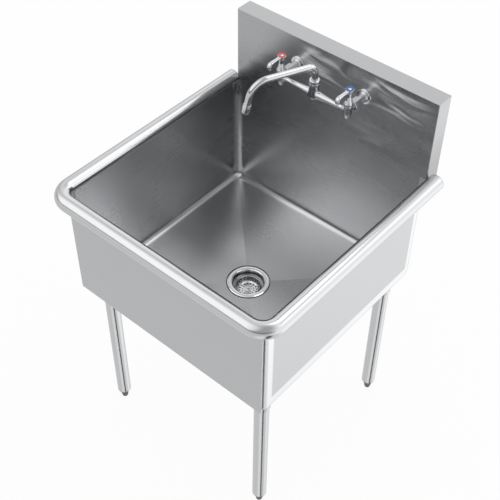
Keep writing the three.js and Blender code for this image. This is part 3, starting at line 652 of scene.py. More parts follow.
def chrome_plate(shader):
    """Chrome plating, with the faint haze and water marks of a used faucet."""
    finish = settings().finish
    place = shader.place()
    haze = shader.noise(place, (60, 60, 60), detail=4)
    marks = shader.noise(place, (420, 420, 420), detail=2)
    colour = shader.colour(haze, [c * 0.93 for c in finish.chrome], finish.chrome[:])
    rough = 0.022 + (haze - 0.4) * 0.04 + shader.step(marks, 0.62, 0.70) * 0.04
    shader.surface(Base_Color=colour, Metallic=1.0, Roughness=rough,
                   Normal=shader.bump(haze, 0.00012))


def strainer_steel(shader):
    """Bright turned steel, with fine rings about the drain's axis and small stains.

    The cup's wall carries painted shade below the flange, and what lies deeper painted light.
    """
    finish = settings().finish
    place = shader.place()
    centre = middle("strainer_body")
    offset = shader.vector("SUBTRACT", place, (centre[0], centre[1], 0.0))
    flat = shader.vector("MULTIPLY", offset, (1, 1, 0))
    radius = shader.node("VectorMath", {"operation": "LENGTH"}, {0: flat}, output=1)
    rings_a_metre = 1100.0
    rings = shader.node("TexNoise", {"noise_dimensions": "1D"},
                        {"W": radius * rings_a_metre, "Scale": 1.0}) - 0.5
    stains = shader.noise(place, (90, 90, 90), detail=3)
    below = high("strainer_body")[2] - shader.parts(place)[2]
    # Painted shade on the cup's wall, with rings in it, and painted light on what lies deeper.
    cup = shader.band(below, 0.001, 0.006, 0.024, 0.030)
    deep_light = shader.step(below, 0.002, 0.008)
    stained = 0.92 + stains * 0.16
    painted = (1 - cup * (0.66 + rings * 0.6)) * (1.24 + deep_light * 0.35)
    colour = shader.tinted(finish.polished[:], stained * painted)
    rough = 0.14 + rings * 0.10 + (stains - 0.5) * 0.10
    shader.surface(Base_Color=colour, Metallic=1.0, Roughness=rough,
                   Normal=shader.bump(rings, 0.00003))


def zinc_plate(shader):
    """Dull zinc plating, cloudy and slightly pitted."""
    finish = settings().finish
    place = shader.place()
    clouds = shader.noise(place, (130, 130, 130), detail=4)
    pits = shader.noise(place, (900, 900, 900), detail=2)
    colour = shader.colour(clouds, [c * 0.72 for c in finish.zinc], [c * 1.12 for c in finish.zinc])
    shader.surface(Base_Color=colour, Metallic=1.0, Roughness=0.38 + (clouds - 0.5) * 0.25,
                   Normal=shader.bump(pits + clouds, 0.00005))


def moulded(colour_name, rough, grain, dust):
    """Moulded plastic or rubber: a fine grain, softly uneven gloss and a little dust."""
    def fill(shader):
        base = getattr(settings().finish, colour_name)[:]
        place = shader.place()
        fine = shader.noise(place, (grain, grain, grain), detail=2)
        cloud = shader.noise(place, (55, 55, 55), detail=3)
        dust_grey = 0.55
        dusty = [c * (1 - dust) + dust_grey * dust for c in base]
        colour = shader.colour(shader.step(cloud, 0.35, 0.75), base, dusty)
        shader.surface(Base_Color=colour, Roughness=rough + (cloud - 0.5) * 0.15,
                       Normal=shader.bump(fine, 0.00004))
    return fill


def foot_metal(shader):
    """Dark coated metal with lighter rubbed spots."""
    finish = settings().finish
    place = shader.place()
    rubbed = shader.step(shader.noise(place, (160, 160, 160), detail=4), 0.56, 0.70)
    fine = shader.noise(place, (1100, 1100, 1100), detail=2)
    colour = shader.colour(rubbed * 0.5, finish.foot[:], [c * 2.2 for c in finish.foot])
    shader.surface(Base_Color=colour, Metallic=0.6, Roughness=0.42 + (fine - 0.5) * 0.15,
                   Normal=shader.bump(fine, 0.00004))


def finish_of(name, slot, fill):
    return lambda: (material(name, fill), slot)


# Scratches a metre, in x, y and z: few along the grain and many across it.
FEW, MANY = 14, 2400
ALONG_X, ALONG_Y, ALONG_Z = (FEW, MANY, MANY), (MANY, FEW, MANY), (MANY, MANY, FEW)
LEVEL = (FEW, FEW, MANY)
FINISHES = {
    "bowl": finish_of("brushed_bowl", "brushed_steel",
                      steel_sheet(LEVEL, zones=bowl_zones, shades=bowl_shades)),
    "sheet": finish_of("brushed_sheet", "brushed_steel", steel_sheet(ALONG_X)),
    "splash": finish_of("brushed_splash", "brushed_steel",
                        steel_sheet(ALONG_X, waves=(6, 6, 24), depth=0.0018,
                                    shades=splash_shades, glare=splash_gleam)),
    "roll_x": finish_of("polished_roll_front", "brushed_steel", steel_sheet(ALONG_X, polish=1.0)),
    "roll_y": finish_of("polished_roll_side", "brushed_steel", steel_sheet(ALONG_Y, polish=1.0)),
    "tube": finish_of("polished_leg_tube", "brushed_steel", steel_sheet(ALONG_Z, polish=0.9)),
    "bracket": finish_of("mill_steel", "brushed_steel", steel_sheet(ALONG_X, polish=0.8)),
    "strainer": finish_of("turned_strainer_steel", "brushed_steel", strainer_steel),
    "chrome": finish_of("chrome_plate", "chrome", chrome_plate),
    "zinc": finish_of("zinc_plate", "zinc_plate", zinc_plate),
    "rubber": finish_of("black_rubber", "black_rubber", moulded("rubber", 0.78, 1500, 0.10)),
    "washer": finish_of("pale_washer", "white_washer", moulded("washer", 0.55, 1200, 0.05)),
    "foot": finish_of("coated_foot", "foot_grey", foot_metal),
    "hot": finish_of("red_index", "index_red", moulded("hot", 0.32, 700, 0.02)),
    "cold": finish_of("blue_index", "index_blue", moulded("cold", 0.32, 700, 0.02)),
}


# ------------------------------------------------------------------ bowl
def bowl_rows(sheet, grow):
    """One side of the bowl's sheet, as rows of points from the top edge to the drain hole.

    The wall is a rounded rectangle whose back corners tighten towards the splashback. The
    cove is a quarter circle. The floor runs straight from each wall to the drain seat, so
    that its four faces meet in creases from the corners: its height falls with the larger of
    the two distances from the drain, each a share of its side's. The root of the sum of their
    high powers stands for the larger one, because it rounds the crease a little.
    """
    power = 36
    half_width, half_depth, centre_y = bowl_plan()
    half_x, half_y = half_width - sheet.thickness, half_depth - sheet.thickness
    top, seat = high("bowl_shell")[2], low("bowl_shell")[2] + sheet.thickness
    bottom = seat + sheet.floor_fall - grow
    cove = sheet.cove + grow
    corner = sheet.corner + grow
    tight = 0.0015 + grow
    blend = 0.045

    def outline(inset, back, front, height):
        ring = rounded_rectangle(half_x + grow - inset, half_y + grow - inset, centre_y,
                                 [back, back, front, front])
        return np.column_stack([ring, np.full(len(ring), height)])

    rows = []
    for height in np.concatenate([np.linspace(top, top - blend, 14),
                                  np.linspace(top - blend, bottom + cove, 8)[1:]]):
        back = corner + (tight - corner) * smooth_step(height, top - blend, top - 0.002)
        rows.append(outline(0, back, corner, height))
    for turn in np.linspace(0, math.pi / 2, 13)[1:]:
        inset = cove * (1 - math.cos(turn))
        radius = max(corner - inset, 0.001)
        rows.append(outline(inset, radius, radius, bottom + cove * (1 - math.sin(turn))))
    foot = rows[-1]
    flat_x, flat_y = half_x + grow - cove, half_y + grow - cove
    angle = np.arctan2(foot[:, 1] - centre_y, foot[:, 0])
    ray = np.stack([np.cos(angle), np.sin(angle)], 1)
    seat_share = sheet.drain_seat / flat_x
    for share in np.linspace(0, 1, 25)[1:]:
        flat = foot[:, :2] * (1 - share) + (ray * sheet.drain_seat + [0, centre_y]) * share
        u, v = np.abs(flat[:, 0]) / flat_x, np.abs(flat[:, 1] - centre_y) / flat_y
        reach = (u ** power + v ** power) ** (1 / power)
        fall = np.clip((1 - reach) / (1 - seat_share), 0, 1)
        rows.append(np.column_stack([flat, bottom - sheet.floor_fall * fall]))
    for radius in (sheet.drain_seat - 0.001, sheet.drain_hole + 0.001, sheet.drain_hole):
        level = np.full(len(ray), seat - grow)
        rows.append(np.column_stack([ray * radius + [0, centre_y], level]))
    return np.array(rows)


class SINK_OT_bowl(bpy.types.Operator):
    """Make the pressed bowl with its coved and creased floor"""
    bl_idname = "sink.bowl"
    bl_label = "Bowl"

    def execute(self, context):
        sheet = settings().sheet
        rows = np.concatenate([bowl_rows(sheet, 0.0), bowl_rows(sheet, sheet.thickness)[::-1]])
        make("bowl_shell", [skin(rows, close_rows=True, close_columns=True)], "bowl", sharp=50)
        return {"FINISHED"}


# ------------------------------------------------------------------ rolled rim
def roll_arc(sheet, radius, steps=44):
    """Points of the roll from the bowl's wall over the top and down to its lip.

    Each is (outward from the bowl's inside face, height), on a circle about the roll's middle.
    """
    turn = np.linspace(math.pi, -sheet.overhang, steps + 1)
    centre = high("rim_front")[2] - sheet.roll
    return np.stack([sheet.roll + radius * np.cos(turn), centre + radius * np.sin(turn)], 1)


def roll_section(sheet):
    """The roll's wall as a closed line, with a rounded lip."""
    outer, inner = roll_arc(sheet, sheet.roll), roll_arc(sheet, sheet.roll - sheet.thickness)
    middle_arc = roll_arc(sheet, sheet.roll - sheet.thickness / 2)
    tip, before = middle_arc[-1], middle_arc[-2]
    ahead = (tip - before) / np.linalg.norm(tip - before)
    side = (outer[-1] - tip) / np.linalg.norm(outer[-1] - tip)
    turn = np.linspace(0, math.pi, 8)[1:-1, None]
    lip = tip + sheet.thickness / 2 * (np.cos(turn) * side + np.sin(turn) * ahead)
    return np.concatenate([outer, lip, inner[::-1]])


def rolled(sheet, faces, outward):
    """The roll carried along points of the bowl's inside face, each with its way outward."""
    origins = np.column_stack([faces, np.zeros(len(faces))])
    across = np.column_stack([outward, np.zeros(len(outward))])
    up = np.tile([0.0, 0.0, 1.0], (len(faces), 1))
    return swept(roll_section(sheet), origins, across, up)


def inside_half(sheet):
    return high("bowl_shell")[0] - sheet.thickness


def inside_front(sheet):
    return low("bowl_shell")[1] + sheet.thickness


class SINK_OT_rim(bpy.types.Operator):
    """Make the rolled rim: the front with its corners, the two sides and their end caps"""
    bl_idname = "sink.rim"
    bl_label = "Rolled rim"

    def execute(self, context):
        sheet = settings().sheet
        half, front = inside_half(sheet), inside_front(sheet)
        turn = np.linspace(0, math.pi / 2, 25)
        ray = np.stack([np.cos(turn), -np.sin(turn)], 1)
        right = np.array([half - sheet.corner, front + sheet.corner]) + sheet.corner * ray
        mirror = np.array([-1.0, 1.0])
        faces = np.concatenate([right, (right * mirror)[::-1]])
        outward = np.concatenate([ray, (ray * mirror)[::-1]])
        make("rim_front", [rolled(sheet, faces, outward)], "roll_x")

        rear = high("rim_right")[1]
        dome = 0.003
        for side, hand in ((-1, "left"), (1, "right")):
            ends = np.array([[side * half, front + sheet.corner], [side * half, rear - dome]])
            make(f"rim_{hand}", [rolled(sheet, ends, np.tile([side, 0.0], (2, 1)))], "roll_y")
            self.cap(sheet, side, hand, half, rear, dome)
        return {"FINISHED"}

    def cap(self, sheet, side, hand, half, rear, dome):
        """The ground end of a side roll: its outline drawn in along a quarter circle."""
        rings = []
        for turn in np.linspace(0, math.pi / 2, 7):
            arc = roll_arc(sheet, sheet.roll - dome * (1 - math.cos(turn)))
            depth = np.full(len(arc), rear - dome + dome * math.sin(turn))
            rings.append(np.column_stack([side * (half + arc[:, 0]), depth, arc[:, 1]]))
        first = rings[0] - [0, sheet.thickness, 0]
        shell = skin(np.array([first, *rings]), False, True, cap_rows=True)
        make(f"rim_cap_{hand}", [shell], "roll_y")


# ------------------------------------------------------------------ apron and splashback
def folded_splash(sheet):
    """The splashback's sheet: front face, top and side returns and the lip along their rear.

    A section of (in from the outer side, back from the face) runs up the left side, across
    the top and down the right one, mitred at the corners. The front face and the sheet's
    rear face fill what it encloses. Below the bowl's top edge the folds lie behind the bowl.
    """
    box_low, box_high = low("splashback"), high("splashback")
    thick, fold = sheet.thickness, sheet.bend
    depth = box_high[1] - box_low[1]
    face = 0.02
    outer = rounded([(face, 0), (0, 0), (0, depth), (sheet.lip, depth)], [0, fold, fold, 0])
    inner = rounded([(face, thick), (thick, thick), (thick, depth - thick),
                     (sheet.lip, depth - thick)], [0, fold - thick, fold - thick, 0])
    section = np.concatenate([outer, inner[::-1]])
    inward, back = section.T
    seam = high("bowl_shell")[2]
    foot = np.where(back < thick + 0.0003, seam, box_low[2])
    y = box_low[1] + back
    left, right, top = box_low[0] + inward, box_high[0] - inward, box_high[2] - inward
    grid = np.array([np.stack([left, y, foot], 1), np.stack([left, y, top], 1),
                     np.stack([right, y, top], 1), np.stack([right, y, foot], 1)])
    count = len(section)
    index = np.arange(4 * count).reshape(4, count)
    faces = [lattice(4, count), index[:1], index[-1:], index[:, 0][None], index[:, -1][None],
             np.array([[index[0, 0], index[0, -1], index[3, -1], index[3, 0]]])]
    return grid.reshape(-1, 3), faces


class SINK_OT_sheets(bpy.types.Operator):
    """Make the front apron and the folded splashback"""
    bl_idname = "sink.sheets"
    bl_label = "Apron and splashback"

    def execute(self, context):
        sheet = settings().sheet
        box_low, box_high = low("front_apron"), high("front_apron")
        corners = [(box_low[0], box_low[2]), (box_high[0], box_low[2]),
                   (box_high[0], box_high[2]), (box_low[0], box_high[2])]
        outline = rounded(corners, 0.0008, steps=3)
        shell = plate(outline, box_low[1], box_high[1], 0.0004,
                      lambda u, v, height: np.stack([u, height, v], -1))
        make("front_apron", [shell], "sheet")
        make("splashback", [folded_splash(sheet)], "splash")
        return {"FINISHED"}


# ------------------------------------------------------------------ legs
def flats(across):
    """A shape that cuts round radii down to the six flats of a hexagon.

    A flat lies at across / 2 / cos(angle from the flat's middle); smaller radii stay.
    """
    def shape(radius, height, angle):
        return np.minimum(radius, across / 2 / np.cos(np.mod(angle, TAU / 6) - TAU / 12))
    return shape


def thread(start, end, pitch, depth):
    """A shape that cuts a screw thread between two heights.

    The cut is a triangle wave that climbs one pitch a turn.
    """
    def shape(radius, height, angle):
        phase = np.mod(angle / TAU - height / pitch, 1.0)
        groove = depth * (1 - np.abs(2 * phase - 1))
        return radius - np.where((height > start) & (height < end), groove, 0)
    return shape


class SINK_OT_legs(bpy.types.Operator):
    """Make the four legs with their corner brackets, set screws, inserts and feet"""
    bl_idname = "sink.legs"
    bl_label = "Legs and feet"

    def execute(self, context):
        for corner in CORNERS:
            centre = middle(f"leg_{corner}") * [1, 1, 0]
            self.leg(corner, centre)
            self.insert(corner, centre)
            self.foot(corner, centre)
            self.bracket(corner, centre)
            self.set_screw(corner, centre)
        return {"FINISHED"}

    def leg(self, corner, centre):
        """The tube, with its cut ends rounded."""
        node = f"leg_{corner}"
        radius = (high(node)[0] - low(node)[0]) / 2
        bottom, top, wall = low(node)[2], high(node)[2], 0.0015
        line = rounded([(radius - wall, bottom), (radius, bottom), (radius, top),
                        (radius - wall, top)], 0.0006, steps=4)
        make(node, [turned(line, centre, closed=True)], "tube")

    def insert(self, corner, centre):
        """The threaded plug in the leg's end, with a flange and two grip ribs."""
        node = f"foot_insert_{corner}"
        bottom, top, radius = low(node)[2], high(node)[2], 0.019
        flange, taper, grip, bore = bottom + 0.0057, 0.004, 0.0170, 0.0063
        rib = 0.0002
        line = [(bore, bottom), (radius - taper, bottom), (radius, flange - 0.001),
                (radius, flange), (grip, flange)]
        for share in (0.30, 0.65):
            level = flange + (top - flange) * share
            line += [(grip, level), (grip + rib, level + 0.001), (grip, level + 0.002)]
        line += [(grip, top - 0.001), (grip - 0.001, top), (bore, top)]
        make(node, [turned(rounded(line, 0.0003, steps=3), centre, closed=True)], "zinc")

    def foot(self, corner, centre):
        """The bullet foot: a tapered body, a hexagon for a spanner and a threaded stem."""
        node = f"foot_{corner}"
        top = high(node)[2]
        sole, body, nut_corner, stem = 0.007, 0.0105, 0.0126, 0.006
        nut_across = 0.022
        body_top, hexagon_top = 0.016, 0.027
        thread_top = hexagon_top + 0.030
        lower = rounded([(0, 0), (sole, 0), (sole + 0.0015, 0.001), (body, body_top - 0.001),
                         (body, body_top)], [0, 0.0006, 0.0006, 0.0008, 0], steps=4)
        nut = rounded([(body, body_top), (nut_corner * 0.96, body_top + 0.0001),
                       (nut_corner, body_top + 0.0008), (nut_corner, hexagon_top - 0.0006),
                       (nut_corner * 0.96, hexagon_top - 0.0001), (stem, hexagon_top)],
                      [0, 0.0002, 0.0004, 0.0004, 0.0002, 0], steps=2)
        turns = np.arange(hexagon_top + 0.0004, thread_top, 0.00022)
        climbing = np.stack([np.full(len(turns), stem), turns], 1)
        upper = np.array([(stem, thread_top), (stem, top - 0.001), (stem - 0.001, top), (0, top)])
        line = np.concatenate([lower, nut, climbing, upper])
        screw = thread(hexagon_top + 0.0004, thread_top, pitch=0.00175, depth=0.0009)
        make(node, [turned(line, centre, segments=72,
                           shape=lambda r, h, a: flats(nut_across)(screw(r, h, a), h, a))],
             "foot", sharp=28)

    def bracket(self, corner, centre):
        """The corner plate, drawn in under the bowl's curve, the leg's socket and the weld."""
        node = f"corner_bracket_{corner}"
        box_low, box_high = low(node), high(node)
        side = -1 if "left" in corner else 1
        end = -1 if "front" in corner else 1
        thick, reach, inset, socket_length = 0.003, 0.100, 0.011, 0.048
        plate_under = box_high[2] - thick
        nose_x = box_high[0] if side > 0 else box_low[0]
        nose_y = box_high[1] if end > 0 else box_low[1]
        corners = [(-reach, -inset), (-inset, -inset), (-inset, -reach),
                   (-reach / 4 - inset, -reach), (-reach, -reach / 4 - inset)]
        outline = rounded(corners, [0.002, 0.016, 0.002, 0.006, 0.006], steps=10)
        outline = outline * [side, end] + [nose_x, nose_y]
        shell = mesh_of(node, [plate(outline, plate_under, box_high[2], 0.0006, upright)])
        inner, outer = 0.0193, 0.0218
        socket = rounded([(inner, plate_under - socket_length),
                          (outer, plate_under - socket_length), (outer, plate_under + 0.001),
                          (inner, plate_under + 0.001)], [0.0008, 0.0008, 0, 0], steps=4)
        turn = np.linspace(0, TAU, 20, endpoint=False)
        off_corner, bead_radius = 0.0004, 0.0026
        bead = np.stack([outer + off_corner + bead_radius * np.cos(turn),
                         plate_under - off_corner + bead_radius * np.sin(turn)], 1)

        def ripples(radius, height, angle):
            """The weld's 58 shallow waves, outside the socket."""
            return radius + np.where(radius > outer + 0.001, 0.00035 * np.cos(58 * angle), 0)

        tools = [[turned(socket, centre, closed=True)],
                 [turned(bead, centre, closed=True, segments=232, shape=ripples)]]
        make(node, carved(node, shell, tools, "UNION"), "bracket")

    def set_screw(self, corner, centre):
        """A short screw with a hexagon socket, level, in the side of the leg's socket."""
        node = f"set_screw_{corner}"
        at = middle(node)
        radius = (high(node)[2] - low(node)[2]) / 2
        drain = middle("strainer_body")
        away = np.array([drain[0] - centre[0], drain[1] - centre[1], 0.0])
        away /= np.linalg.norm(away)
        half = 0.0035
        line = rounded([(0, -half), (radius, -half), (radius, half), (0.0017, half),
                        (0.0017, half - 0.003), (0, half - 0.003)],
                       [0, 0.0004, 0.0006, 0.0002, 0.0002, 0], steps=3)

        def socket(radius_, height, angle):
            inside = radius_ * math.cos(TAU / 12) / np.cos(np.mod(angle, TAU / 6) - TAU / 12)
            return np.where(radius_ < 0.0018, inside, radius_)

        make(node, [turned(line, at, away, segments=48, shape=socket)], "zinc", sharp=28)


# ------------------------------------------------------------------ drain
class SINK_OT_drain(bpy.types.Operator):
    """Make the basket strainer, its seals and nut, and the tailpiece"""
    bl_idname = "sink.drain"
    bl_label = "Drain"

    def execute(self, context):
        seat = low("bowl_shell")[2] + settings().sheet.thickness
        centre = middle("strainer_body") * [1, 1, 0] + [0, 0, seat]
        self.body(centre)
        self.basket(centre)
        self.seals(centre)
        self.outlet(centre)
        return {"FINISHED"}

    def body(self, centre):
        """The pressed flange and stepped cup with its outlet neck."""
        line = contour(5, (19.5, -74, 0.4), (22.5, -74, 0.4), (22.5, -51.4, 2), (36, -51.4, 3),
                       (43.9, -42, 3), (43.9, 0.3, 0.4), (56.5, 0.3, 0.3), (56.3, 1.0, 0.4),
                       (53.5, 2.05, 1.2), (50.5, 1.75, 0.8), (46.6, 1.75, 0.8), (45.0, 2.1, 1.4),
                       (42.5, 0.6, 1.6), (41.6, -14, 1.2), (34.5, -14.9, 2.5), (32.6, -42, 3),
                       (30.6, -50, 4), (19.5, -50, 2))
        make("strainer_body", [turned(line, centre, closed=True, segments=144)], "strainer",
             sharp=40)
        bead = rounded(mm((56.7, 0.05), (59.0, 0.05), (58.6, 0.7), (57.0, 0.9)), 0.0002, steps=3)
        make(None, [turned(bead, centre, closed=True, segments=144)], "rubber",
             name="fine_flange_bead", body="sink")

    def basket(self, centre):
        """The lift-out basket with three rings of holes, its knob and its stopper."""
        line = contour(6, (0, -32, 0), (27, -32, 2.5), (30, -29, 2.5), (32.8, -15.6, 1.6),
                       (36.5, -14.2, 0.6), (36.5, -12.4, 0.6), (32.2, -13.4, 1.6), (28.8, -28, 1.6),
                       (25.5, -30.8, 2.5), (0, -30.8, 0))
        knob_stem = 3.3
        holes = [self.rod(centre, knob_stem)]
        rings_of_holes = ((9.0, 6, 1.4), (15.6, 12, 1.7), (22.8, 16, 2.4))
        for ring, count, hole in rings_of_holes:
            for turn in np.arange(count) * TAU / count:
                offset = np.array([math.cos(turn), math.sin(turn), 0]) * ring / 1000
                holes.append(self.rod(centre + offset, hole))
        slots = [self.slot(centre, turn) for turn in np.arange(24) * TAU / 24]
        cup = mesh_of("strainer_basket", [turned(line, centre, segments=144)])
        make("strainer_basket", carved("strainer_basket", cup, [holes, slots], "DIFFERENCE"),
             "strainer", sharp=40)
        knob = contour(6, (0, -42.3, 0), (3, -42.3, 0.5), (3, -30.5, 0.2), (4.2, -30.5, 0.4),
                       (4.2, -23.4, 1.2), (6.4, -22.4, 1), (7.5, -20.6, 1.2), (6.6, -18.3, 1.8),
                       (0, -18, 0))
        make("basket_knob", [turned(knob, centre, segments=64)], "chrome")
        stopper = contour(4, (3.3, -36.3, 0.4), (19, -36.3, 1.5), (24, -33.4, 0.8),
                          (24, -32.4, 0.3), (3.3, -32.4, 0.3))
        make("basket_stopper", [turned(stopper, centre, closed=True)], "rubber")

    def rod(self, centre, radius):
        """A round tool that passes through the basket's bottom."""
        bottom, top = -36, -27
        line = mm((0, bottom), (radius, bottom), (radius, top), (0, top))
        return turned(line, centre, segments=20)

    def slot(self, centre, turn):
        """A round-ended way through the basket's wall."""
        ray = np.array([math.cos(turn), math.sin(turn), 0])
        side = np.array([-ray[1], ray[0], 0])
        path = np.array([26.0, 40.0]) / 1000
        angle = np.linspace(0, TAU, 16, endpoint=False)
        stretch = np.sign(np.sin(angle)) * 0.0028
        section = np.stack([0.0011 * np.cos(angle), 0.0011 * np.sin(angle) + stretch], 1)
        origins = centre + [0, 0, -0.0215] + path[:, None] * ray
        return swept(section, origins, np.tile(side, (2, 1)), np.tile([0.0, 0, 1], (2, 1)))

    def seals(self, centre):
        """The gasket, the slip washer and the lock nut that clamp the floor's edge."""
        def ring(node, inner, outer, bottom, top, edge, finish):
            line = rounded(mm((inner, bottom), (outer, bottom), (outer, top), (inner, top)),
                           edge / 1000, steps=4)
            make(node, [turned(line, centre, closed=True)], finish)

        ring("strainer_gasket", 44.2, 57, -4.5, -1.5, 0.5, "rubber")
        ring("slip_washer", 44.2, 56, -6, -4.8, 0.2, "washer")
        line = contour(4, (44.2, -18.3, 0.5), (51, -18.3, 1), (52, -10.3, 1), (54.6, -9.1, 0.8),
                       (58.9, -8.6, 0.6), (58.9, -6.5, 0.4), (44.2, -6.5, 0.3))

        def lugs(radius, height, angle):
            rim = 0.0545
            off = np.abs(np.mod(angle + TAU / 16, TAU / 8) - TAU / 16)
            lug = 1 - smooth_step(off, 0.055, 0.085)
            return radius - np.where(radius > rim, (radius - rim) * (1 - lug), 0)

        make("strainer_lock_nut", [turned(line, centre, closed=True, segments=240, shape=lugs)],
             "zinc", sharp=40)

    def outlet(self, centre):
        """The tailpiece, its washer and the ribbed coupling nut."""
        line = rounded(mm((19.5, -75.8), (22.5, -75.8), (22.5, -74.3), (19.5, -74.3)), 0.0003)
        make("tailpiece_washer", [turned(line, centre, closed=True, segments=72)], "washer")
        line = contour(4, (17.85, -226.1, 0.4), (19.05, -226.1, 0.4), (19.05, -78.1, 0.8),
                       (22.5, -78.1, 0.3), (22.5, -76.1, 0.6), (17.85, -76.1, 0.6))
        make("tailpiece", [turned(line, centre, closed=True)], "chrome")
        line = contour(5, (19.4, -81.4, 0.4), (26.2, -81.4, 1), (29, -79, 1.4), (29, -62, 1.4),
                       (27.2, -59.4, 1), (22.8, -59.4, 0.4), (22.8, -78.4, 0.4), (19.4, -78.4, 0.4))

        def ribs(radius, height, angle):
            hollow = 0.0262
            wave = smooth_step(np.abs(np.cos(6 * angle)), 0.25, 0.75)
            return radius - np.where(radius > hollow, (radius - hollow) * 0.7 * (1 - wave), 0)

        make("coupling_nut", [turned(line, centre, closed=True, segments=192, shape=ribs)],
             "chrome", sharp=40)


# ------------------------------------------------------------------ faucet
def valve_place(hand):
    """The foot of a valve's axis."""
    return middle(f"bonnet_{hand}") * [1, 1, 0]


class SINK_OT_faucet(bpy.types.Operator):
    """Make the bridge body, its valves, inlets and wall flanges"""
    bl_idname = "sink.faucet"
    bl_label = "Faucet"

    def execute(self, context):
        self.body()
        self.collar()
        for hand in HANDS:
            self.bonnet(hand)
            self.inlet(hand)
        return {"FINISHED"}

    def body(self):
        """The casting: hub, flared arms, two barrels with round tips and the inlet stubs."""
        axis = middle("spout_collar_nut") * [1, 1, 0]
        inlet = middle("union_nut_hot")[2]
        height = np.array([0, 0, inlet])
        hub = contour(6, (0, -17, 0), (11, -16, 6), (15.8, -10.5, 4), (15.2, -5, 5), (13.3, 9, 30),
                      (12.4, 20, 8), (12.4, 24.5, 0.5), (11, 24.5, 0.3), (11, 31.5, 0.4),
                      (0, 31.5, 0))
        barrel = contour(6, (0, -27.5, 0), (5.9, -26.6, 5), (9.6, -19, 6), (10.9, -11, 6),
                         (10.9, 10.8, 0.8), (10.3, 12.5, 0.3), (0, 12.5, 0))
        reach = middle("bonnet_cold")[0] - axis[0]
        along = np.linspace(0, reach, 81)
        share = along / reach
        thin, flare, knuckle = 0.0057, 0.0068, 0.0022
        radius = thin + flare * (1 - share) ** 2.6 + knuckle * smooth_step(share, 0.80, 0.93)
        arm = np.concatenate([[[0, 0]], np.stack([radius, along], 1), [[0, reach]]])
        stub = mm((0, 0), (8.6, 0), (8.6, 19.7), (0, 19.7))
        waterway = mm((0, 0), (7, 0), (7, 30), (0, 30))
        shells, bores = [], [self.bore(axis + height, 8.3, 4, 40)]
        low_arms = axis + height - [0, 0, 0.004]
        for hand, side in (("hot", -1), ("cold", 1)):
            place = valve_place(hand) + height
            shells += [[turned(barrel, place, segments=72)],
                       [turned(arm, low_arms, (side, 0, 0), segments=64)],
                       [turned(stub, place, BACKWARD, segments=64)]]
            bores += [self.bore(place, 7.3, -6, 20),
                      turned(waterway, place, BACKWARD, segments=48)]
        body = mesh_of("faucet_body", [turned(hub, axis + height, segments=96)])
        body = carved("faucet_body", body, shells, "UNION")
        body = carved("faucet_body", body, [[bore] for bore in bores], "DIFFERENCE")
        make("faucet_body", body, "chrome", sharp=30)

    def bore(self, place, radius, bottom, top):
        """A round upright tool between two heights from a place."""
        line = mm((0, bottom), (radius, bottom), (radius, top), (0, top))
        return turned(line, place, segments=48)

    def collar(self):
        """The nut over the hub's thread, grooved and with round edges."""
        node = "spout_collar_nut"
        foot = low(node)[2]
        line = contour(5, (11.3, 0, 0.2), (13.4, 0, 0.4), (14, 0.8, 0.5), (14, 3.0, 0.3),
                       (13.3, 3.6, 0.2), (13.3, 4.2, 0.2), (14, 4.8, 0.3), (14, 10.4, 1.6),
                       (12, 13, 1.2), (8.3, 13, 0.4), (8.3, 7.2, 0.2), (11.3, 7.2, 0.2))
        make(node, [turned(line, middle(node) * [1, 1, 0] + [0, 0, foot], closed=True)], "chrome")

    def bonnet(self, hand):
        """The bell over a valve's stem, and the stem itself."""
        node, place = f"bonnet_{hand}", valve_place(hand)
        foot = low(node)[2]
        line = contour(8, (4.3, 0, 0.3), (11.9, 0, 0.6), (11.9, 5.6, 1.4), (10.6, 7.6, 4),
                       (8.2, 14.5, 12), (6.4, 24, 12), (5.8, 33.7, 0.5), (4.3, 33.7, 0.3))
        make(node, [turned(line, place + [0, 0, foot], closed=True, segments=72)], "chrome",
             sharp=40)
        node = f"valve_stem_{hand}"
        bottom, top = low(node)[2], high(node)[2]
        shoulder = foot - 0.0013
        line = rounded([(0, bottom), (0.007, bottom), (0.007, shoulder), (0.004, shoulder),
                        (0.004, top), (0, top)], [0, 0.0004, 0.0004, 0.0002, 0.0005, 0], steps=4)

        def splined(radius, height, angle):
            ribs = 0.0003 * (1 - np.cos(20 * angle))
            return radius - np.where((height > top - 0.009) & (radius > 0.003), ribs, 0)

        make(node, [turned(line, place, segments=80, shape=splined)], "chrome", sharp=40)

    def inlet(self, hand):
        """Union nut, shank, wall flange and back nut along one inlet's axis."""
        node = f"union_nut_{hand}"
        at = middle(node) * [1, 0, 1]
        line = contour(3, (8.9, 0, 0.3), (12.2, 0, 0.5), (14.4, 1.6, 0.4), (14.4, 24.0, 0.4),
                       (12.2, 25.5, 0.5), (10.9, 25.5, 0.3), (10.9, 2, 0.2), (8.9, 2, 0.2))
        self.nut(node, at, line, "chrome")

        node = f"inlet_shank_{hand}"
        front, rear = low(node)[1], high(node)[1]
        collar_end = low(f"wall_flange_{hand}")[1] - 0.0003
        screw_radius, bore, collar = 0.0096, 0.007, 0.0106
        turns = np.arange(collar_end + 0.001, rear - 0.001, 0.00025)
        climbing = np.stack([np.full(len(turns), screw_radius), turns], 1)
        line = np.concatenate([
            rounded([(bore, front), (collar, front), (collar, collar_end),
                     (screw_radius, collar_end)], [0, 0.0006, 0.0006, 0], steps=4),
            climbing, [(screw_radius, rear - 0.0008), (screw_radius - 0.0008, rear), (bore, rear)]])
        make(node, [turned(line, at, BACKWARD, closed=True, segments=72,
                           shape=thread(collar_end + 0.0012, rear - 0.0012, 0.0018, 0.0009))],
             "chrome", sharp=40)

        node = f"wall_flange_{hand}"
        rear = high(node)[1]
        line = contour(8, (9.9, -24, 0.3), (11.6, -24, 0.6), (11.6, -8, 4), (13.6, -5.4, 3),
                       (19, -3.6, 3), (20.5, -2.2, 1.2), (20.5, 0, 0.2), (9.9, 0, 0.2))
        make(node, [turned(line, at + [0, rear, 0], BACKWARD, closed=True)], "chrome", sharp=40)

